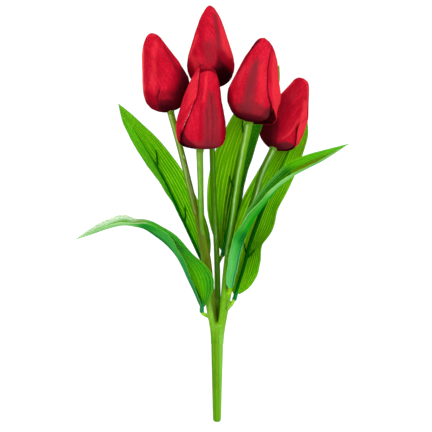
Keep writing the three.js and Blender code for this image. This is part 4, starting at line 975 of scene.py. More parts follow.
def brush(x, y, pts, soft):
    """how much a closed area (soft: a number) or a line (soft: half width, softness) covers each place, 0..1"""
    line = isinstance(soft, tuple)
    d, inside = np.full(x.shape, 1e9), np.zeros(x.shape, bool)
    place, run = np.zeros(x.shape), 0.0
    ends = list(zip(pts, pts[1:])) if line else list(zip(pts, pts[1:] + pts[:1]))
    for (x0, y0), (x1, y1) in ends:
        ex, ey = x1 - x0, y1 - y0
        size = math.hypot(ex, ey)
        f = np.clip(((x - x0) * ex + (y - y0) * ey) / size**2, 0, 1)
        e = np.hypot(x - x0 - f * ex, y - y0 - f * ey)
        place = np.where(e < d, run + f * size, place)
        d = np.minimum(d, e)
        run += size
        if abs(ey) > 1e-9:
            inside ^= ((y0 > y) != (y1 > y)) & (x < x0 + (y - y0) * ex / ey)
    if line:
        place = place / run
        return smooth(soft[0] + soft[1], max(0.0, soft[0] - soft[1]), d) * smooth(-.02, .14, place) * smooth(1.02, .86, place)
    return smooth(soft, -soft, np.where(inside, -d, d))


# marks on the side that faces the front: printed maroon (maroon), painted shade, partly printed (dark, black, tone),
# painted light (light) and a painted sheen highlight along a rim (pale); channel, outline or line in the front view,
# softness, strength
MARKS = {
    "1": [
        ("dark", [(188, 64), (182, 66), (179, 72), (179, 80), (175.5, 88), (172, 94), (171, 104), (171, 116), (200, 116), (200, 64)], 4.2, 1.0),
        ("black", [(196, 74), (184, 80), (180, 92), (180, 106), (196, 106)], 4.5, .5),
        ("tone", [(176, 64), (171.5, 76), (169.5, 86), (168, 95), (180, 102), (186, 70)], 3.6, .85),
        ("dark", [(162, 44), (168, 54), (173, 62), (177, 72)], (.8, 1.6), .5),
        ("dark", [(160, 91), (158.5, 97), (158.5, 104), (161, 112), (173, 112), (173, 91), (166, 90)], 2.2, .5),
        ("dark", [(158.3, 100), (160, 112), (172, 115), (184, 112), (178, 102), (168, 99)], 1.8, .9),
        ("black", [(159, 104), (162, 113), (174, 114), (172, 106)], 2.0, .4),
        ("dark", [(160.6, 87), (158.9, 92), (157.6, 96), (157.6, 100), (158.4, 104), (160.5, 111)], (.8, .6), 1.0),
        ("tone", [(142, 90), (147, 106), (158, 115), (158, 104), (156.5, 96), (150, 92)], 3.0, .9),
        ("dark", [(144, 99), (149, 109), (158, 115), (158, 106), (151, 101)], 2.4, .5),
        ("maroon", [(146, 98), (150, 107), (158, 112), (157, 103)], 2.0, .5),
        ("pale", [(143.0, 42), (142.6, 60), (142.8, 80), (143.8, 92), (147, 101)], (.9, .8), .9),
        ("tone", [(147, 46), (146.8, 66), (148, 90)], (.9, 1.5), .45),
        ("light", [(157, 37), (153.5, 55), (154, 75), (152, 92)], (1.4, 3.0), .4),
        ("light", [(146, 38), (150, 35), (156, 35)], (.8, 1.2), .4),
        ("tone", [(159, 50), (157.5, 66), (159.5, 84)], (.4, 1.2), .3),
    ],
    "2": [
        ("light", [(198, 33), (193.5, 45), (190, 56), (187.6, 65)], (.9, 1.0), .8),
        ("maroon", [(213.3, 9), (215.3, 20), (216.5, 32), (218, 44), (219.8, 56)], (1.0, 2.4), .75),
        ("light", [(219.5, 22), (225, 31), (229.5, 43), (233, 58), (228, 59), (222.5, 50), (220.5, 36)], 2.0, .75),
        ("light", [(211, 9), (217, 14), (220, 22)], (.8, 1.4), .4),
        ("maroon", [(203, 42), (214, 40), (217, 56), (214, 65), (204, 63)], 4.0, .5),
        ("dark", [(218.5, 55), (222, 61), (228, 66), (233.5, 72), (236, 90), (208, 92), (205, 75), (203, 66.5), (210, 68), (215, 65)], 3.0, 1.0),
        ("black", [(213, 70), (223, 66), (231, 73), (230, 88), (212, 90)], 2.8, .85),
        ("tone", [(216, 50), (224, 51), (231, 60), (236, 66), (236, 74), (220, 66)], 3.0, .75),
        ("dark", [(198.8, 67.6), (201, 65.2), (204, 64.4)], (.5, .6), .95),
        ("tone", [(185, 60), (189, 58), (193, 66), (197, 78), (192, 88), (184, 80)], 2.0, .95),
        ("dark", [(184, 66), (187, 66), (191, 74), (194, 82), (190, 88), (184, 80)], 2.0, .6),
        ("light", [(191, 56), (199, 57), (199, 66), (194, 69)], 2.0, .45),
        ("dark", [(225.4, 28), (228.2, 36), (230.8, 45)], (.35, .45), .8),
        ("tone", [(202, 16), (203, 34), (200, 52)], (1.2, 3.0), .25),
    ],
    "3": [
        ("maroon", [(209, 90), (213, 92), (216, 104), (219, 118), (220, 140), (217, 150), (203, 150), (203, 130), (204, 112), (207, 100)], 2.3, .68),
        ("dark", [(210.2, 90), (211.6, 104), (212.9, 120), (212.5, 136), (211.4, 149)], (.4, .6), .6),
        ("dark", [(206.7, 105), (207.6, 122), (207.9, 140), (207.5, 149)], (.35, .6), .5),
        ("tone", [(217.6, 82), (219, 96), (220.5, 108), (221.5, 122), (221, 140), (218, 150), (230, 150), (232, 120), (226, 96), (219, 78)], 1.9, 1.0),
        ("dark", [(221, 92), (223.5, 110), (225, 130), (225, 146), (232, 146), (232, 100), (224, 88)], 1.8, .6),
        ("light", [(206.5, 73), (205.8, 84), (204.6, 95), (203.6, 103)], (.9, 1.6), .6),
        ("tone", [(199.5, 104), (203, 104), (203, 136), (199, 143), (198.5, 125)], 1.7, .6),
        ("dark", [(180, 130), (183.5, 131), (188, 139), (195, 145), (199, 152), (178, 152)], 1.8, .95),
        ("black", [(182, 132), (181.8, 140), (185, 145), (191, 148.5)], (1.0, 1.2), .8),
        ("maroon", [(190, 141), (226, 141), (226, 152), (190, 152)], 2.4, .6),
        ("dark", [(192, 146), (226, 145), (226, 152), (192, 152)], 2.0, .35),
        ("light", [(191, 78), (197.6, 77), (196.6, 97), (192, 103), (187, 108), (188, 92)], 2.2, .45),
        ("tone", [(199.6, 76), (199.4, 84), (199, 92), (198, 98)], (.7, .9), .5),
    ],
    "4": [
        ("dark", [(260, 39.6), (255, 44), (251, 50), (248.3, 55), (244.8, 61), (241, 68), (236.5, 76)], (.55, .8), .85),
        ("dark", [(259.5, 38.6), (254, 41), (250, 48.5), (252, 50), (256, 45.5), (261, 41)], .9, .8),
        ("tone", [(224, 90), (229.5, 86), (232, 94), (233.5, 104), (239, 113), (230, 114), (222, 100)], 1.4, 1.0),
        ("dark", [(222, 94), (229, 90), (230, 98), (232.5, 106), (238, 114), (228, 114)], 1.2, .65),
        ("maroon", [(258, 57), (260, 63), (257.5, 78), (256, 92), (255, 104), (250, 114), (241, 114), (242, 100), (245, 86), (248, 74), (253, 62)], 2.8, .7),
        ("maroon", [(256.5, 60), (252.5, 76), (249.5, 90), (247, 108)], (1.6, 2.2), .45),
        ("light", [(246, 65), (241.5, 76), (238, 88)], (1.0, 2.2), .32),
        ("light", [(259, 66), (266.5, 60), (266.5, 90), (263, 106), (257, 101), (259, 84)], 3.0, .35),
        ("maroon", [(232, 103), (262, 103), (267, 110), (260, 118), (240, 117), (231, 110)], 3.2, .65),
        ("dark", [(226, 106), (236, 111), (250, 113.5), (260, 116), (264, 120), (262, 128), (240, 128), (224, 113)], 3.4, 1.0),
        ("black", [(233, 114), (246, 119.6), (261, 122.5)], (1.2, 1.6), .6),
        ("maroon", [(269.6, 106), (264, 111.5), (259, 118), (265, 122), (271, 114)], 1.3, .9),
        ("dark", [(269.6, 106), (264, 111.5), (259, 118), (265, 122), (271, 114)], 1.3, .42),
        ("black", [(270.6, 104), (272, 111), (275, 118.5), (273, 124), (262, 124), (267.5, 119.5), (269.4, 113)], 1.0, 1.0),
        ("dark", [(272, 47), (270, 54), (268.8, 62), (267.8, 70), (267.3, 80), (267.6, 90), (268.8, 98), (270.6, 106)], (.45, .6), .7),
        ("light", [(273.2, 52), (278, 60), (280, 80), (281, 96), (278.5, 108), (276, 118), (273.6, 108), (272, 90), (271.8, 70), (272.5, 58)], 1.4, .7),
    ],
    "5": [
        ("light", [(281, 94), (288, 86), (295, 79.8)], (1.4, 1.3), .75),
        ("light", [(303, 79.5), (307.5, 84), (308.2, 94), (307.5, 104)], (.9, 1.0), .65),
        ("tone", [(279, 97), (289, 92), (292, 106), (288, 122), (281, 134), (272, 126)], 3.2, .6),
        ("maroon", [(299.5, 85), (292, 98), (286, 106), (281, 114)], (.5, 1.3), .4),
        ("light", [(303.5, 100), (309, 102), (309, 116), (306, 127), (300, 140), (295.8, 148.5), (296.6, 132), (299.5, 120), (302.5, 110)], 1.8, .75),
        ("light", [(299, 118), (292.5, 130), (286.5, 136), (280.5, 139.6)], (.7, 1.4), .6),
        ("dark", [(297.2, 127), (296, 133), (295.5, 140), (294.8, 145), (291.5, 149.6)], (.4, .55), .7),
        ("dark", [(279.5, 120), (278.6, 132), (277, 141), (277.5, 148), (270, 153), (250, 148), (250, 114), (272, 114)], 1.8, .85),
        ("black", [(274, 124), (271, 150), (252, 146), (254, 122)], 3.5, .6),
        ("maroon", [(276.6, 146), (278.8, 142.6), (285, 141.6), (291, 143), (295.2, 146.4), (293, 151), (285, 154), (277, 150)], .7, 1.0),
        ("dark", [(276.6, 146), (278.8, 142.6), (285, 141.6), (291, 143), (295.2, 146.4), (293, 151), (285, 154), (277, 150)], .7, .35),
        ("dark", [(277.2, 147), (282, 150.6), (289, 151), (294, 148)], (.8, 1.0), .9),
    ],
}


def petal_paint(k, i, az, t, P):
    """painted shade, partly printed: dark side of the flower, painted shadow in the slit beside a raised edge, creases;
    then the tone of the red; then painted light; then wear
    """
    L = LOOK[k]
    out = np.zeros_like(t)
    tone = np.zeros_like(t)
    wear = np.zeros_like(t)
    front = 270 + near(az, 270)
    for mid, spread, high, start, strength in L["shade"]:
        out = np.maximum(out, strength * smooth(spread, spread * .25, np.abs(near(az, mid))) * smooth(high, high * .25, t))
    # painted shade, partly printed: the dark side climbs from the foot round to the right
    for az0, slope, soft, strength, high in L.get("climb", []):
        out = np.maximum(out, strength * smooth(-soft, soft, front - (az0 + slope * t)) * smooth(high, high - .25, t))
    for az0, az1, t0, t1, strength in L.get("tone", []):
        tone = np.maximum(tone, strength * smooth(az0 - 14, az0 + 14, front) * smooth(az1 + 14, az1 - 14, front) * smooth(t0 - .08, t0 + .08, t) * smooth(t1 + .08, t1 - .08, t))
    # the side that faces the front carries its own marks
    facing = smooth(.34, .06, np.sin(np.radians(az)))
    layer = {key: np.zeros_like(t) for key in ("dark", "tone", "maroon", "light", "pale", "black")}
    gx, gy = front_view(P)
    for channel, pts, soft, strength in MARKS[k]:
        layer[channel] = 1 - (1 - layer[channel]) * (1 - strength * brush(gx, gy, pts, soft))
    out = out * (1 - facing) + layer["dark"] * facing
    tone = tone * (1 - facing) + layer["tone"] * facing
    turn = L["turn"]
    # painted shadow: the petal that lies under a raised edge is dark beside it
    seam, lift = (L["seams"][(i + 1) % 3], L["lift"][(i + 1) % 3]) if turn < 0 else (L["seams"][i], L["lift"][i])
    strong = i == (2 if turn < 0 else 0) if k in "123" else i == 0
    r, _ = bud_radius(k, t)
    if strong:
        gap = near(az, table(seam, t)) * (1 if turn > 0 else -1)
        mm = np.radians(gap) * r
        wide = {"1": 2.7, "2": 1.8, "3": 1.1, "4": .9, "5": .9}[k]
        out = np.maximum(out, table(L["slit"], t) * smooth(wide, 0.15, mm))
    if k == "3" and i == 2:
        mm = -np.radians(near(az, table(L["seams"][0], t))) * r
        wear = .75 * smooth(1.3, .1, mm) * (smooth(.24, .34, t) * smooth(.58, .48, t) + .6 * smooth(.84, .88, t) * smooth(.95, .92, t))
        out = np.maximum(out, .8 * smooth(.11, .02, t))
    return {"ps": out, "pv": tone, "pw": wear, "pm": layer["maroon"] * facing, "pl": layer["light"] * facing, "pb": layer["pale"] * facing,
            "pk": layer["black"] * facing}


def petal_object(name, k, P, u, t, x, ident, i, paint, material):
    n, m = u.shape
    L = LOOK[k]
    H = bud_frame(k)[4]
    full = lambda v: np.full(n * m, float(v))
    pc, strong, f0, f1 = L["flame"]
    if i:
        pc, strong = 0.0, L["flame_b"]
    flame = strong * smooth(f0 - .12, f0 + .1, t) * smooth(f1, f1 - .3, t)
    data = {
        "pu": u.ravel(), "pt": t.ravel(), "px": x.ravel(), "ph": (t * H).ravel(), "pid": full(ident), "pf": flame.ravel(),
        "pd": full(L["foot"][0]), "pe": full(L["foot"][1]), "pc": full(pc), **{key: a.ravel() for key, a in paint.items()},
    }
    ob = make(name, P.reshape(-1, 3), grid_faces(n, m), data, material)
    mod = ob.modifiers.new("thick", "SOLIDIFY")
    mod.thickness, mod.offset = 0.3 * MM, 0.0
    return ob


def area_of(P):
    a, b, c, d = P[:-1, :-1], P[:-1, 1:], P[1:, 1:], P[1:, :-1]
    return float((np.linalg.norm(np.cross(b - a, c - a), axis=-1) + np.linalg.norm(np.cross(c - a, d - a), axis=-1)).sum() / 2)


for k in "12345":
    L = LOOK[k]
    H = bud_frame(k)[4]
    for i, c in enumerate("abc"):
        P, u, t, x, az = petal_surface(k, i, seed=13.7 * int(k) + 3.1 * i)
        ob = petal_object(f"petal_{k}{c}", k, P, u, t, x, int(k) * 3.3 + i * 1.7, i, petal_paint(k, i, az, t, P), PETAL)
        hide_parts(f"outer_petal_{k}{c}")
        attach(ob, f"flower_{k}")
        a = area_of(P) * 1e-6

    # inner whorl: three petals on one ring
    parts, attrs = [], {}
    verts, faces, at = [], [], 0
    cut = math.pi * (9.0**2 - 1.45**2)
    cols = {key: [] for key in ("pu", "pt", "px", "ph")}
    for i in range(3):
        P, u, t, x, az = petal_surface(k, i, nu=33, nv=60, inset=2.1, inner=True, seed=50 + 13.7 * int(k) + 3.1 * i, wave=0.6)
        n, m = u.shape
        cut += area_of(P)
        verts.append(P.reshape(-1, 3))
        faces += grid_faces(n, m, start=at)
        at += n * m
        for key, val in (("pu", u), ("pt", t), ("px", x), ("ph", t * H)):
            cols[key].append(val.ravel())
    foot, A, right, away, _, R = bud_frame(k)
    ring = []
    for r_, h_ in ((1.45, 4.4), (3.5, 4.3), (6.0, 4.6), (9.0, 5.6)):
        for j in range(36):
            a = 2 * math.pi * j / 36
            ring.append(foot + A * h_ + right * r_ * math.cos(a) + away * r_ * math.sin(a))
    verts.append(np.array(ring))
    faces += grid_faces(4, 36, wrap=True, start=at)
    at += len(ring)
    for key in cols:
        cols[key].append(np.full(len(ring), 0.05))
    n = at
    data = {key: np.concatenate(val) for key, val in cols.items()}
    data |= {"pid": np.full(n, 70.0 + int(k)), "pf": np.full(n, 0.4), "pd": np.full(n, 1.0), "pc": np.zeros(n), "pe": np.full(n, 0.1), "ps": np.full(n, 0.1),
             "pv": np.full(n, 0.3), "pw": np.zeros(n), "pm": np.zeros(n), "pl": np.zeros(n), "pb": np.zeros(n), "pk": np.zeros(n)}
    ob = make(f"inner_whorl_{k}", np.concatenate(verts), faces, data, PETAL_IN)
    mod = ob.modifiers.new("thick", "SOLIDIFY")
    mod.thickness, mod.offset = 0.3 * MM, 0.0
    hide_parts(f"inner_petals_{k}")
    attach(ob, f"flower_{k}")

    # plastic foot under the petals, on the stem's thin end
    rows = [(2.3, 0.02), (2.3, 1.9), (-2.0, 1.95), (-2.45, 2.05), (-2.5, STEM_R[k][-1][1] - .35), (-2.42, STEM_R[k][-1][1] - .05), (-2.0, STEM_R[k][-1][1] + 0.03),
            (-1.0, STEM_R[k][-1][1] + 0.12), (0.0, 3.4), (1.2, 3.5), (2.4, 3.3), (3.3, 2.4), (3.7, 1.3), (7.4, 1.2), (7.9, 0.9), (8.0, 0.02)]
    P = np.array([[foot + A * h + right * r * math.cos(a) + away * r * math.sin(a) for a in np.linspace(0, 2 * math.pi, 32, endpoint=False)] for h, r in rows])
    n = P.shape[0] * P.shape[1]
    f = grid_faces(len(rows), 32, wrap=True)
    v = P.reshape(-1, 3)
    f = outward(v, f + [tuple(range(32))[::-1], tuple(range(n - 32, n))])
    hh = np.repeat([h for h, _ in rows], 32)
    col = colours([(-3, STEM_COL[k][-1][1]), (1, srgb(100, 142, 26)), (8, srgb(90, 136, 20))], hh)
    ob = make(f"flower_foot_{k}", v, f, {"cd": col, "ss": hh, "sa": np.tile(np.linspace(0, 6.28, 32), len(rows)), "sid": np.full(n, 5.0 * int(k))}, FOOT)
    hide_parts(f"receptacle_{k}")
    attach(ob, f"foot_{k}")

# ---------------------------------------------------------------- leaves
RIB_R, RIB_R_TIP, RIB_END, BLADE_T, GAP = 1.45, 0.5, 0.86, 0.5, 0.3
# side ribs: where they leave the rib (share of the leaf), which half, how far along and out they reach
SIDE_RIBS = {
    "1": [(.285, 1, .075, 5.6), (.60, 1, .085, 6.4), (.335, -1, .05, 3.2)],
    "2": [(.30, 1, .06, 4.5), (.50, 1, .06, 4.2), (.53, -1, .05, 3.6)],
    "3": [(.385, -1, .055, 5.8), (.655, -1, .075, 7.0), (.34, 1, .05, 4.0), (.62, 1, .05, 4.0)],
    "4": [(.245, -1, .06, 5.8), (.225, 1, .06, 6.0), (.60, -1, .06, 5.0), (.62, 1, .06, 5.0)],
    "5": [(.34, -1, .05, 4.0), (.34, 1, .05, 4.0), (.66, 1, .05, 4.0)],
}


def hermite(vs, rows, v):
    """smooth line through rows at parameters vs"""
    vs, rows = np.asarray(vs, float), np.asarray(rows, float)
    h = np.diff(vs)
    d = np.diff(rows, axis=0) / h[:, None]
    m = np.empty_like(rows)
    m[1:-1] = (d[:-1] * h[1:, None] + d[1:] * h[:-1, None]) / (h[:-1] + h[1:])[:, None]
    m[0], m[-1] = d[0], d[-1]
    i = np.clip(np.searchsorted(vs, v, side="right") - 1, 0, len(h) - 1)
    t = ((v - vs[i]) / h[i])[:, None]
    H = h[i][:, None]
    return ((2 * t**3 - 3 * t**2 + 1) * rows[i] + (t**3 - 2 * t**2 + t) * H * m[i] + (-2 * t**3 + 3 * t**2) * rows[i + 1] + (t**3 - t**2) * H * m[i + 1])


# per leaf: colour of half A and half B on top, of both undersides, each as rows along the leaf; a half that lies in
# shade is painted darker, and tips with light shining through are painted paler
LEAF_COL = {
    "1": dict(a=[(0, srgb(10, 112, 30)), (.3, srgb(10, 120, 10)), (.6, srgb(34, 140, 10)), (1, srgb(66, 164, 10))],
              b=[(0, srgb(40, 136, 0)), (.4, srgb(58, 152, 0)), (.8, srgb(66, 160, 2)), (1, srgb(76, 168, 12))],
              ua=[(0, srgb(70, 150, 60)), (1, srgb(84, 170, 70))], ub=[(0, srgb(70, 150, 60)), (1, srgb(84, 170, 70))]),
    "2": dict(a=[(0, srgb(20, 120, 50)), (.5, srgb(26, 138, 40)), (.66, srgb(60, 160, 50)), (.75, srgb(150, 205, 140)), (1, srgb(150, 205, 140))],
              b=[(0, srgb(66, 158, 0)), (.28, srgb(48, 148, 10)), (.42, srgb(28, 136, 30)), (.62, srgb(40, 150, 30)), (.74, srgb(140, 200, 120)), (1, srgb(160, 212, 150))],
              ua=[(0, srgb(24, 112, 62)), (.3, srgb(34, 132, 60)), (.42, srgb(44, 146, 44)), (.66, srgb(56, 160, 44)), (.78, srgb(136, 196, 116)), (1, srgb(150, 200, 134))],
              ub=[(0, srgb(50, 150, 60)), (.66, srgb(60, 165, 56)), (.78, srgb(150, 205, 140)), (1, srgb(160, 212, 150))]),
    "3": dict(a=[(0, srgb(54, 134, 0)), (.25, srgb(84, 170, 0)), (.6, srgb(98, 182, 0)), (1, srgb(88, 172, 6))],
              b=[(0, srgb(0, 66, 6)), (.3, srgb(0, 84, 4)), (.7, srgb(4, 100, 4)), (.85, srgb(40, 136, 4)), (1, srgb(80, 160, 10))],
              ua=[(0, srgb(60, 140, 30)), (1, srgb(80, 160, 50))], ub=[(0, srgb(60, 140, 30)), (1, srgb(80, 160, 50))]),
    "4": dict(a=[(0, srgb(70, 152, 0)), (.25, srgb(112, 186, 0)), (.5, srgb(80, 166, 0)), (1, srgb(78, 168, 2))],
              b=[(0, srgb(64, 152, 0)), (.3, srgb(60, 146, 0)), (.6, srgb(70, 156, 0)), (1, srgb(84, 170, 4))],
              ua=[(0, srgb(60, 140, 30)), (1, srgb(80, 160, 50))], ub=[(0, srgb(60, 140, 30)), (1, srgb(80, 160, 50))]),
    "5": dict(a=[(0, srgb(20, 120, 20)), (.5, srgb(30, 138, 10)), (.75, srgb(90, 130, 6)), (.9, srgb(96, 140, 10)), (1, srgb(110, 180, 90))],
              b=[(0, srgb(10, 110, 40)), (.25, srgb(16, 128, 12)), (.5, srgb(30, 144, 10)), (.75, srgb(60, 158, 4)), (1, srgb(90, 176, 60))],
              ua=[(0, srgb(76, 172, 76)), (.16, srgb(74, 168, 72)), (.24, srgb(36, 146, 40)), (.42, srgb(20, 136, 14)), (.56, srgb(64, 164, 40)), (.8, srgb(90, 176, 80)), (1, srgb(110, 186, 100))],
              ub=[(0, srgb(70, 160, 60)), (1, srgb(80, 170, 60))]),
}


# strips of colour, partly printed, partly painted shade (dark bands beside the rib and beside stems) and painted
# highlights (pale lines along edges and folds): (side, u from, u to, v from, v to, colour, strength, softness across,
# softness along)
STRIPS = {
    "1": [("top", -.34, -.02, .1, .66, srgb(0, 100, 14), .7, .12, .1)],
    "2": [("under", -1.1, -.93, .64, .86, srgb(206, 230, 190), .95, .03, .03), ("under", -.8, 0, .6, .68, srgb(14, 122, 44), .85, .1, .03),
          ("under", -1, -.3, .36, .56, srgb(58, 152, 60), .6, .1, .05), ("under", -.9, -.5, .57, .66, srgb(20, 136, 20), .8, .1, .03), ("under", -.3, 0, .36, .62, srgb(4, 92, 48), .8, .08, .04), ("under", -.12, 0, .1, .55, srgb(10, 104, 50), .8, .06, .05),
          ("top", .3, .72, .4, .62, srgb(0, 96, 30), .85, .08, .04), ("top", -.05, .1, .05, .42, srgb(16, 104, 30), .7, .04, .05),
          ("top", .55, 1.1, .7, 1.1, srgb(196, 214, 186), .9, .14, .05), ("top", -1, .5, .76, 1.1, srgb(134, 190, 112), .8, .1, .04),
          ("top", .1, .62, .7, .83, srgb(66, 152, 0), .85, .2, .05), ("top", .3, .9, .655, .715, srgb(96, 100, 0), .7, .2, .035)],
    "3": [("top", -.26, 0, .03, .46, srgb(0, 66, 2), .92, .08, .1), ("top", -.14, 0, .3, .9, srgb(0, 96, 0), .5, .06, .05), ("top", .0, .2, .03, .95, srgb(0, 60, 14), .7, .08, .05)],
    "4": [("top", -.14, .12, .03, .6, srgb(0, 84, 10), .85, .06, .06), ("top", -.1, .06, .6, .9, srgb(10, 104, 0), .6, .05, .06)],
    "5": [("under", -.26, -.08, .0, .29, srgb(14, 104, 64), .9, .05, .03), ("under", -.07, .02, .0, .28, srgb(104, 182, 108), .8, .03, .03),
          ("under", -1.1, -.6, .0, .26, srgb(98, 186, 92), .6, .2, .04), ("under", -.6, .02, .27, .34, srgb(0, 92, 24), .8, .15, .02),
          ("under", -.55, .02, .34, .62, srgb(6, 146, 4), .9, .12, .03), ("under", -.9, -.55, .34, .64, srgb(72, 164, 50), .8, .1, .03),
          ("under", -1.1, -.94, .36, .6, srgb(140, 202, 112), .7, .04, .05), ("under", -1.1, -.5, .56, .72, srgb(150, 206, 124), .65, .12, .04), ("under", -.9, .02, .66, .82, srgb(126, 192, 96), .7, .1, .04),
          ("top", .05, .8, .3, .74, srgb(0, 104, 16), .95, .1, .05), ("top", .84, 1.1, .34, .70, srgb(84, 160, 76), .7, .06, .04),
          ("top", .42, 1.1, .74, 1.1, srgb(72, 166, 0), .8, .1, .04), ("top", -.2, .4, .74, .94, srgb(98, 118, 0), .85, .1, .03),
          ("top", .36, .46, .68, .95, srgb(40, 116, 0), .7, .03, .03)],
}


# how strongly the printed veins show on each leaf
VEIN = {"1": .95, "2": .35, "3": 1.0, "4": .95, "5": .4}


def leaf(k):
    L = LAYOUT["leaf"][k]
    rows = L.get("cloth", L["rows"])
    vs = np.array([r[0] for r in rows])
    S0, A0, B0 = (np.array([r[i] for r in rows], float) for i in (1, 2, 3))
    keel = L["keel"]
    nv, nw = 150, 26
    v = 0.018 + (1 - 0.018) * np.linspace(0, 1, nv) ** (1.35 if k == "5" else 1.0)
    S, A, B = hermite(vs, S0, v), hermite(vs, A0, v), hermite(vs, B0, v)
    T = unit(np.gradient(S, axis=0))
    perp = lambda X: unit((X - S) - T * ((X - S) * T).sum(1, keepdims=True))
    a, b = perp(A), perp(B)
    na = unit(np.cross(-a, T)) * keel
    nb = unit(np.cross(b, T)) * keel
    # steady normals where the leaf narrows to nothing
    for q in (na, nb):
        for i in range(nv - 4, nv):
            q[i] = q[nv - 5]
        for i in (1, 0):
            q[i] = q[2]
    length = np.concatenate([[0], np.cumsum(np.linalg.norm(np.diff(S, axis=0), axis=1))])
    w = np.linspace(0, 1, nw)
    seed = 31.0 * int(k)

    def halfside(E, n, sign):
        width = np.linalg.norm(E - S, axis=1)[:, None]
        bulge = -0.055 * width * (4 * w * (1 - w))[None, :]
        base = S[:, None] + (E - S)[:, None] * w[None, :, None]
        pts = np.stack([np.broadcast_to(length[:, None], base.shape[:2]), w[None, :] * width * sign, np.full(base.shape[:2], seed)], -1)
        rip = nz(pts * np.array([1.0, 0.35, 1]), 0.085, seed) * w[None, :] ** 1.5 * 1.1
        rip += 0.25 * nz(pts, 0.3, seed + 5) * w[None, :]
        rip *= smooth(0, 0.08, v)[:, None] * smooth(1.0, 0.9, v)[:, None]
        # long shallow furrows beside the veins
        fur = 0.10 * np.sin(w * math.pi * 7.0)[None, :] * smooth(0, 0.12, v)[:, None] * smooth(1.0, 0.85, v)[:, None]
        return base + n[:, None] * (bulge + rip + fur)[..., None]

    LA, LB = halfside(A, na, -1), halfside(B, nb, 1)
    P = np.concatenate([LA[:, ::-1], LB[:, 1:]], 1)
    if k == "5":
        # the lower lobe hangs in front of its neighbour's branch and sleeve; the line on the rib stays where it is
        need = np.zeros(P.shape[:2])
        for path, rad in ((BRANCH["5"], 3.0), (STEMS["5"], 3.0)):
            z = P[..., 2]
            ax, ay = np.interp(z, path.p[:, 2], path.p[:, 0]), np.interp(z, path.p[:, 2], path.p[:, 1])
            reach = rad + 1.9
            half = reach * np.sqrt(np.maximum(0, 1 - ((P[..., 0] - ax) / (1.35 * reach)) ** 2))
            inside = (half > 0) & (P[..., 1] > ay - half) & (P[..., 1] < ay + reach + 1) & (z > path.p[0, 2]) & (z < 165)
            need = np.maximum(need, np.where(inside, P[..., 1] - (ay - half), 0))
        push = need.copy()
        for _ in range(500):
            pad = np.pad(push, 1, mode="edge")
            push = np.maximum(need, 0.249 * (pad[2:, 1:-1] + pad[:-2, 1:-1] + pad[1:-1, 2:] + pad[1:-1, :-2]))
            push[:, nw - 1] = push[0] = push[-1] = 0
        P[..., 1] -= push
    u = np.concatenate([-w[::-1], w[1:]])[None, :] * np.ones((nv, 1))
    n, m = P.shape[:2]
    vv = v[:, None] * np.ones((1, m))
    hh = length[:, None] * np.ones((1, m))
    c = {key: colours(rows, v)[:, None] for key, rows in LEAF_COL[k].items()}
    sidew = smooth(-0.06, 0.06, u)[..., None]
    col = c["a"] * (1 - sidew) + c["b"] * sidew
    und = c["ua"] * (1 - sidew) + c["ub"] * sidew
    if k == "2":
        # yellow light in the middle of the broad half, darker towards its outer edge
        glow = np.exp(-(((u - 0.3) / 0.26) ** 2)) * np.exp(-(((vv - 0.14) / 0.14) ** 2))
        col = col * (1 - 0.75 * glow[..., None]) + np.array(srgb(88, 176, 0))[:3] * 0.75 * glow[..., None]
        edge = (smooth(.5, .8, u) * smooth(.34, .2, vv))[..., None]
        col = col * (1 - edge) + np.array(srgb(26, 130, 20))[:3] * edge
    for side, u0, u1, v0, v1, paint, strength, su, sv_ in STRIPS[k]:
        f = strength * smooth(u0 - su, u0 + su, u) * smooth(u1 + su, u1 - su, u) * smooth(v0 - sv_, v0 + sv_, vv) * smooth(v1 + sv_, v1 - sv_, vv)
        f = f[..., None]
        if side == "top":
            col = col * (1 - f) + np.array(paint)[:3] * f
        else:
            und = und * (1 - f) + np.array(paint)[:3] * f
    # on leaf 3 the veins fade on half B, which is painted as lying in shade
    attrs = {"lu": u.ravel(), "lv": vv.ravel(), "lh": hh.ravel(), "lid": np.full(n * m, seed), "lk": (VEIN[k] * (1 - (.7 if k == "3" else 0) * smooth(.02, .1, u))).ravel(),
             "lc": col.reshape(-1, 3), "lc_under": und.reshape(-1, 3)}
    faces = grid_faces(n, m)
    # faces look to the rib's side, which is the leaf's top
    e1, e2 = P[1:, :-1] - P[:-1, :-1], P[:-1, 1:] - P[:-1, :-1]
    fn = np.cross(e2, e1)[n // 2, m // 2]
    mid = (na + nb)[n // 2]
    if fn.dot(mid) < 0:
        faces = [tuple(reversed(f)) for f in faces]
    ob = make(f"leaf_cloth_{k}", P.reshape(-1, 3), faces, attrs, [LEAF, LEAF_UNDER])
    mod = ob.modifiers.new("thick", "SOLIDIFY")
    mod.thickness, mod.offset = 0.36 * MM, 0.0
    mod.material_offset, mod.material_offset_rim = 1, 0
    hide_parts(f"leaf_blade_{k}")
    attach(ob, f"leaf_{k}")

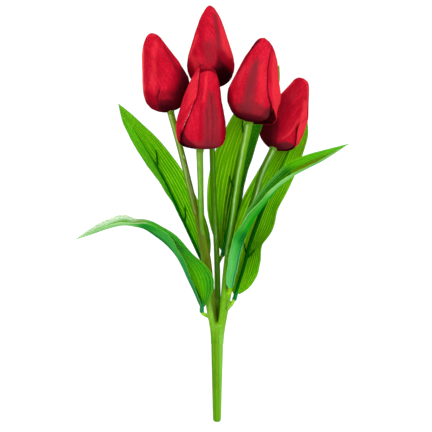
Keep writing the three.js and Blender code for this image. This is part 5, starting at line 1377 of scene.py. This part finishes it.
    # the moulded rib, with socket and side ribs
    vs = np.array([r[0] for r in L["rows"]])
    S0, A0, B0 = (np.array([r[i] for r in L["rows"]], float) for i in (1, 2, 3))
    rT = []
    for i in range(len(vs)):
        rT.append(unit(S0[min(i + 1, len(vs) - 1)] - S0[max(i - 1, 0)]))
    rT = np.array(rT)
    A1, B1 = A0.copy(), B0.copy()
    for X in (A1, B1):
        for i in (0, len(vs) - 1):
            if np.linalg.norm(X[i] - S0[i]) < 1:
                j = 1 if i == 0 else i - 1
                X[i] = S0[i] + unit(X[j] - S0[j]) * 0.9
    pp = lambda X: unit((X - S0) - rT * ((X - S0) * rT).sum(1, keepdims=True))
    ra, rb = pp(A1), pp(B1)
    rna, rnb = unit(np.cross(-ra, rT)) * keel, unit(np.cross(rb, rT)) * keel
    rm = unit(rna + rnb)
    rcos = np.maximum(0.35, (rm * rna).sum(1))
    fold = (ra * rnb).sum(1)
    ribr = lambda x: lerp(RIB_R, RIB_R_TIP, np.minimum(1, x / RIB_END))
    mixrow = lambda X, x: np.stack([np.interp(x, vs, X[:, q]) for q in range(3)], -1)

    def rib_at(x, lift=0.3):
        off = ribr(x) * 0.8 + BLADE_T / 2 + lift
        f = np.interp(x, vs, fold)
        if f > 0:
            off = off / np.interp(x, vs, rcos)
        return hermite(vs, S0, np.array([x]))[0] + unit(mixrow(rm, x)) * off

    hinge = np.array(LAYOUT["peg"][k][-1])
    line = [hinge]
    for x in vs[1:]:
        if x < RIB_END - 0.03:
            line.append(rib_at(x))
    line.append(rib_at(RIB_END))
    peg_end = PEG[k]
    back = [peg_end.at(peg_end.length - 1.2)[0][0], peg_end.at(peg_end.length - 0.6)[0][0]]
    path = Path([*back, *line])
    end = path.length
    s = np.concatenate([[0.8, 0.05, 0.0, 0.2, 0.6], np.linspace(1.0, 8.5, 16), np.linspace(9.5, end - 0.4, 70), [end, end + 0.3]])
    r = np.concatenate([[1.0, 1.35, 1.6, 1.78, 1.86], np.interp(np.linspace(1.0, 8.5, 16), [1, 5, 7, 8.5], [1.88, 1.78, 1.5, 1.3]),
                        ribr(np.linspace(9.5, end - 0.4, 70) / end * RIB_END), [RIB_R_TIP * .7, RIB_R_TIP * .25]])
    vt, ft, sv, av = tube(path, s, r, 14)
    verts, faces, svs, avs, at = [vt], list(ft), [sv], [av], len(vt)
    for x, which, reach, out_mm in SIDE_RIBS[k]:
        n_, uu = (rna, ra) if which < 0 else (rnb, rb)
        pts = [rib_at(x)]
        for f_, o_ in ((0.3, 0.36), (0.65, 0.72), (1.0, 1.0)):
            y_ = x + reach * f_
            base = hermite(vs, S0, np.array([y_]))[0]
            pts.append(base + unit(mixrow(uu, y_)) * out_mm * o_ + unit(mixrow(n_, y_)) * 0.72)
        sp = Path(pts, 60)
        ss = np.concatenate([np.linspace(0, sp.length, 18), [sp.length + 0.25]])
        sr = np.concatenate([np.interp(np.linspace(0, 1, 18), [0, 0.6, 1], [0.78, 0.62, 0.4]), [0.12]])
        v2, f2, s2, a2 = tube(sp, ss, sr, 10)
        verts.append(v2)
        faces += [tuple(i + at for i in q) for q in f2]
        svs.append(s2 + 40)
        avs.append(a2)
        at += len(v2)
    sv = np.concatenate(svs)
    socket = np.array({"2": srgb(26, 118, 64), "5": srgb(112, 168, 6), "4": srgb(8, 112, 34)}.get(k, srgb(6, 92, 24)))[:3]
    deep = np.array(srgb(2, 84, 4))[:3]
    q = smooth(5, 16, sv)[:, None]
    col = socket * (1 - q) + deep * q
    q = smooth(.62, .95, sv / end)[:, None] * (sv < end + 1)[:, None]
    col = col * (1 - q) + np.array(LEAF_COL[k]["b"][2][1])[:3] * q
    ob = make(f"leaf_rib_{k}", np.concatenate(verts), faces, {"cd": col, "ss": sv, "sa": np.concatenate(avs), "sid": np.full(at, 4.0 * int(k))}, RIB)
    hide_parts(f"leaf_spine_{k}")
    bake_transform(ob)


for k in "12345":
    leaf(k)
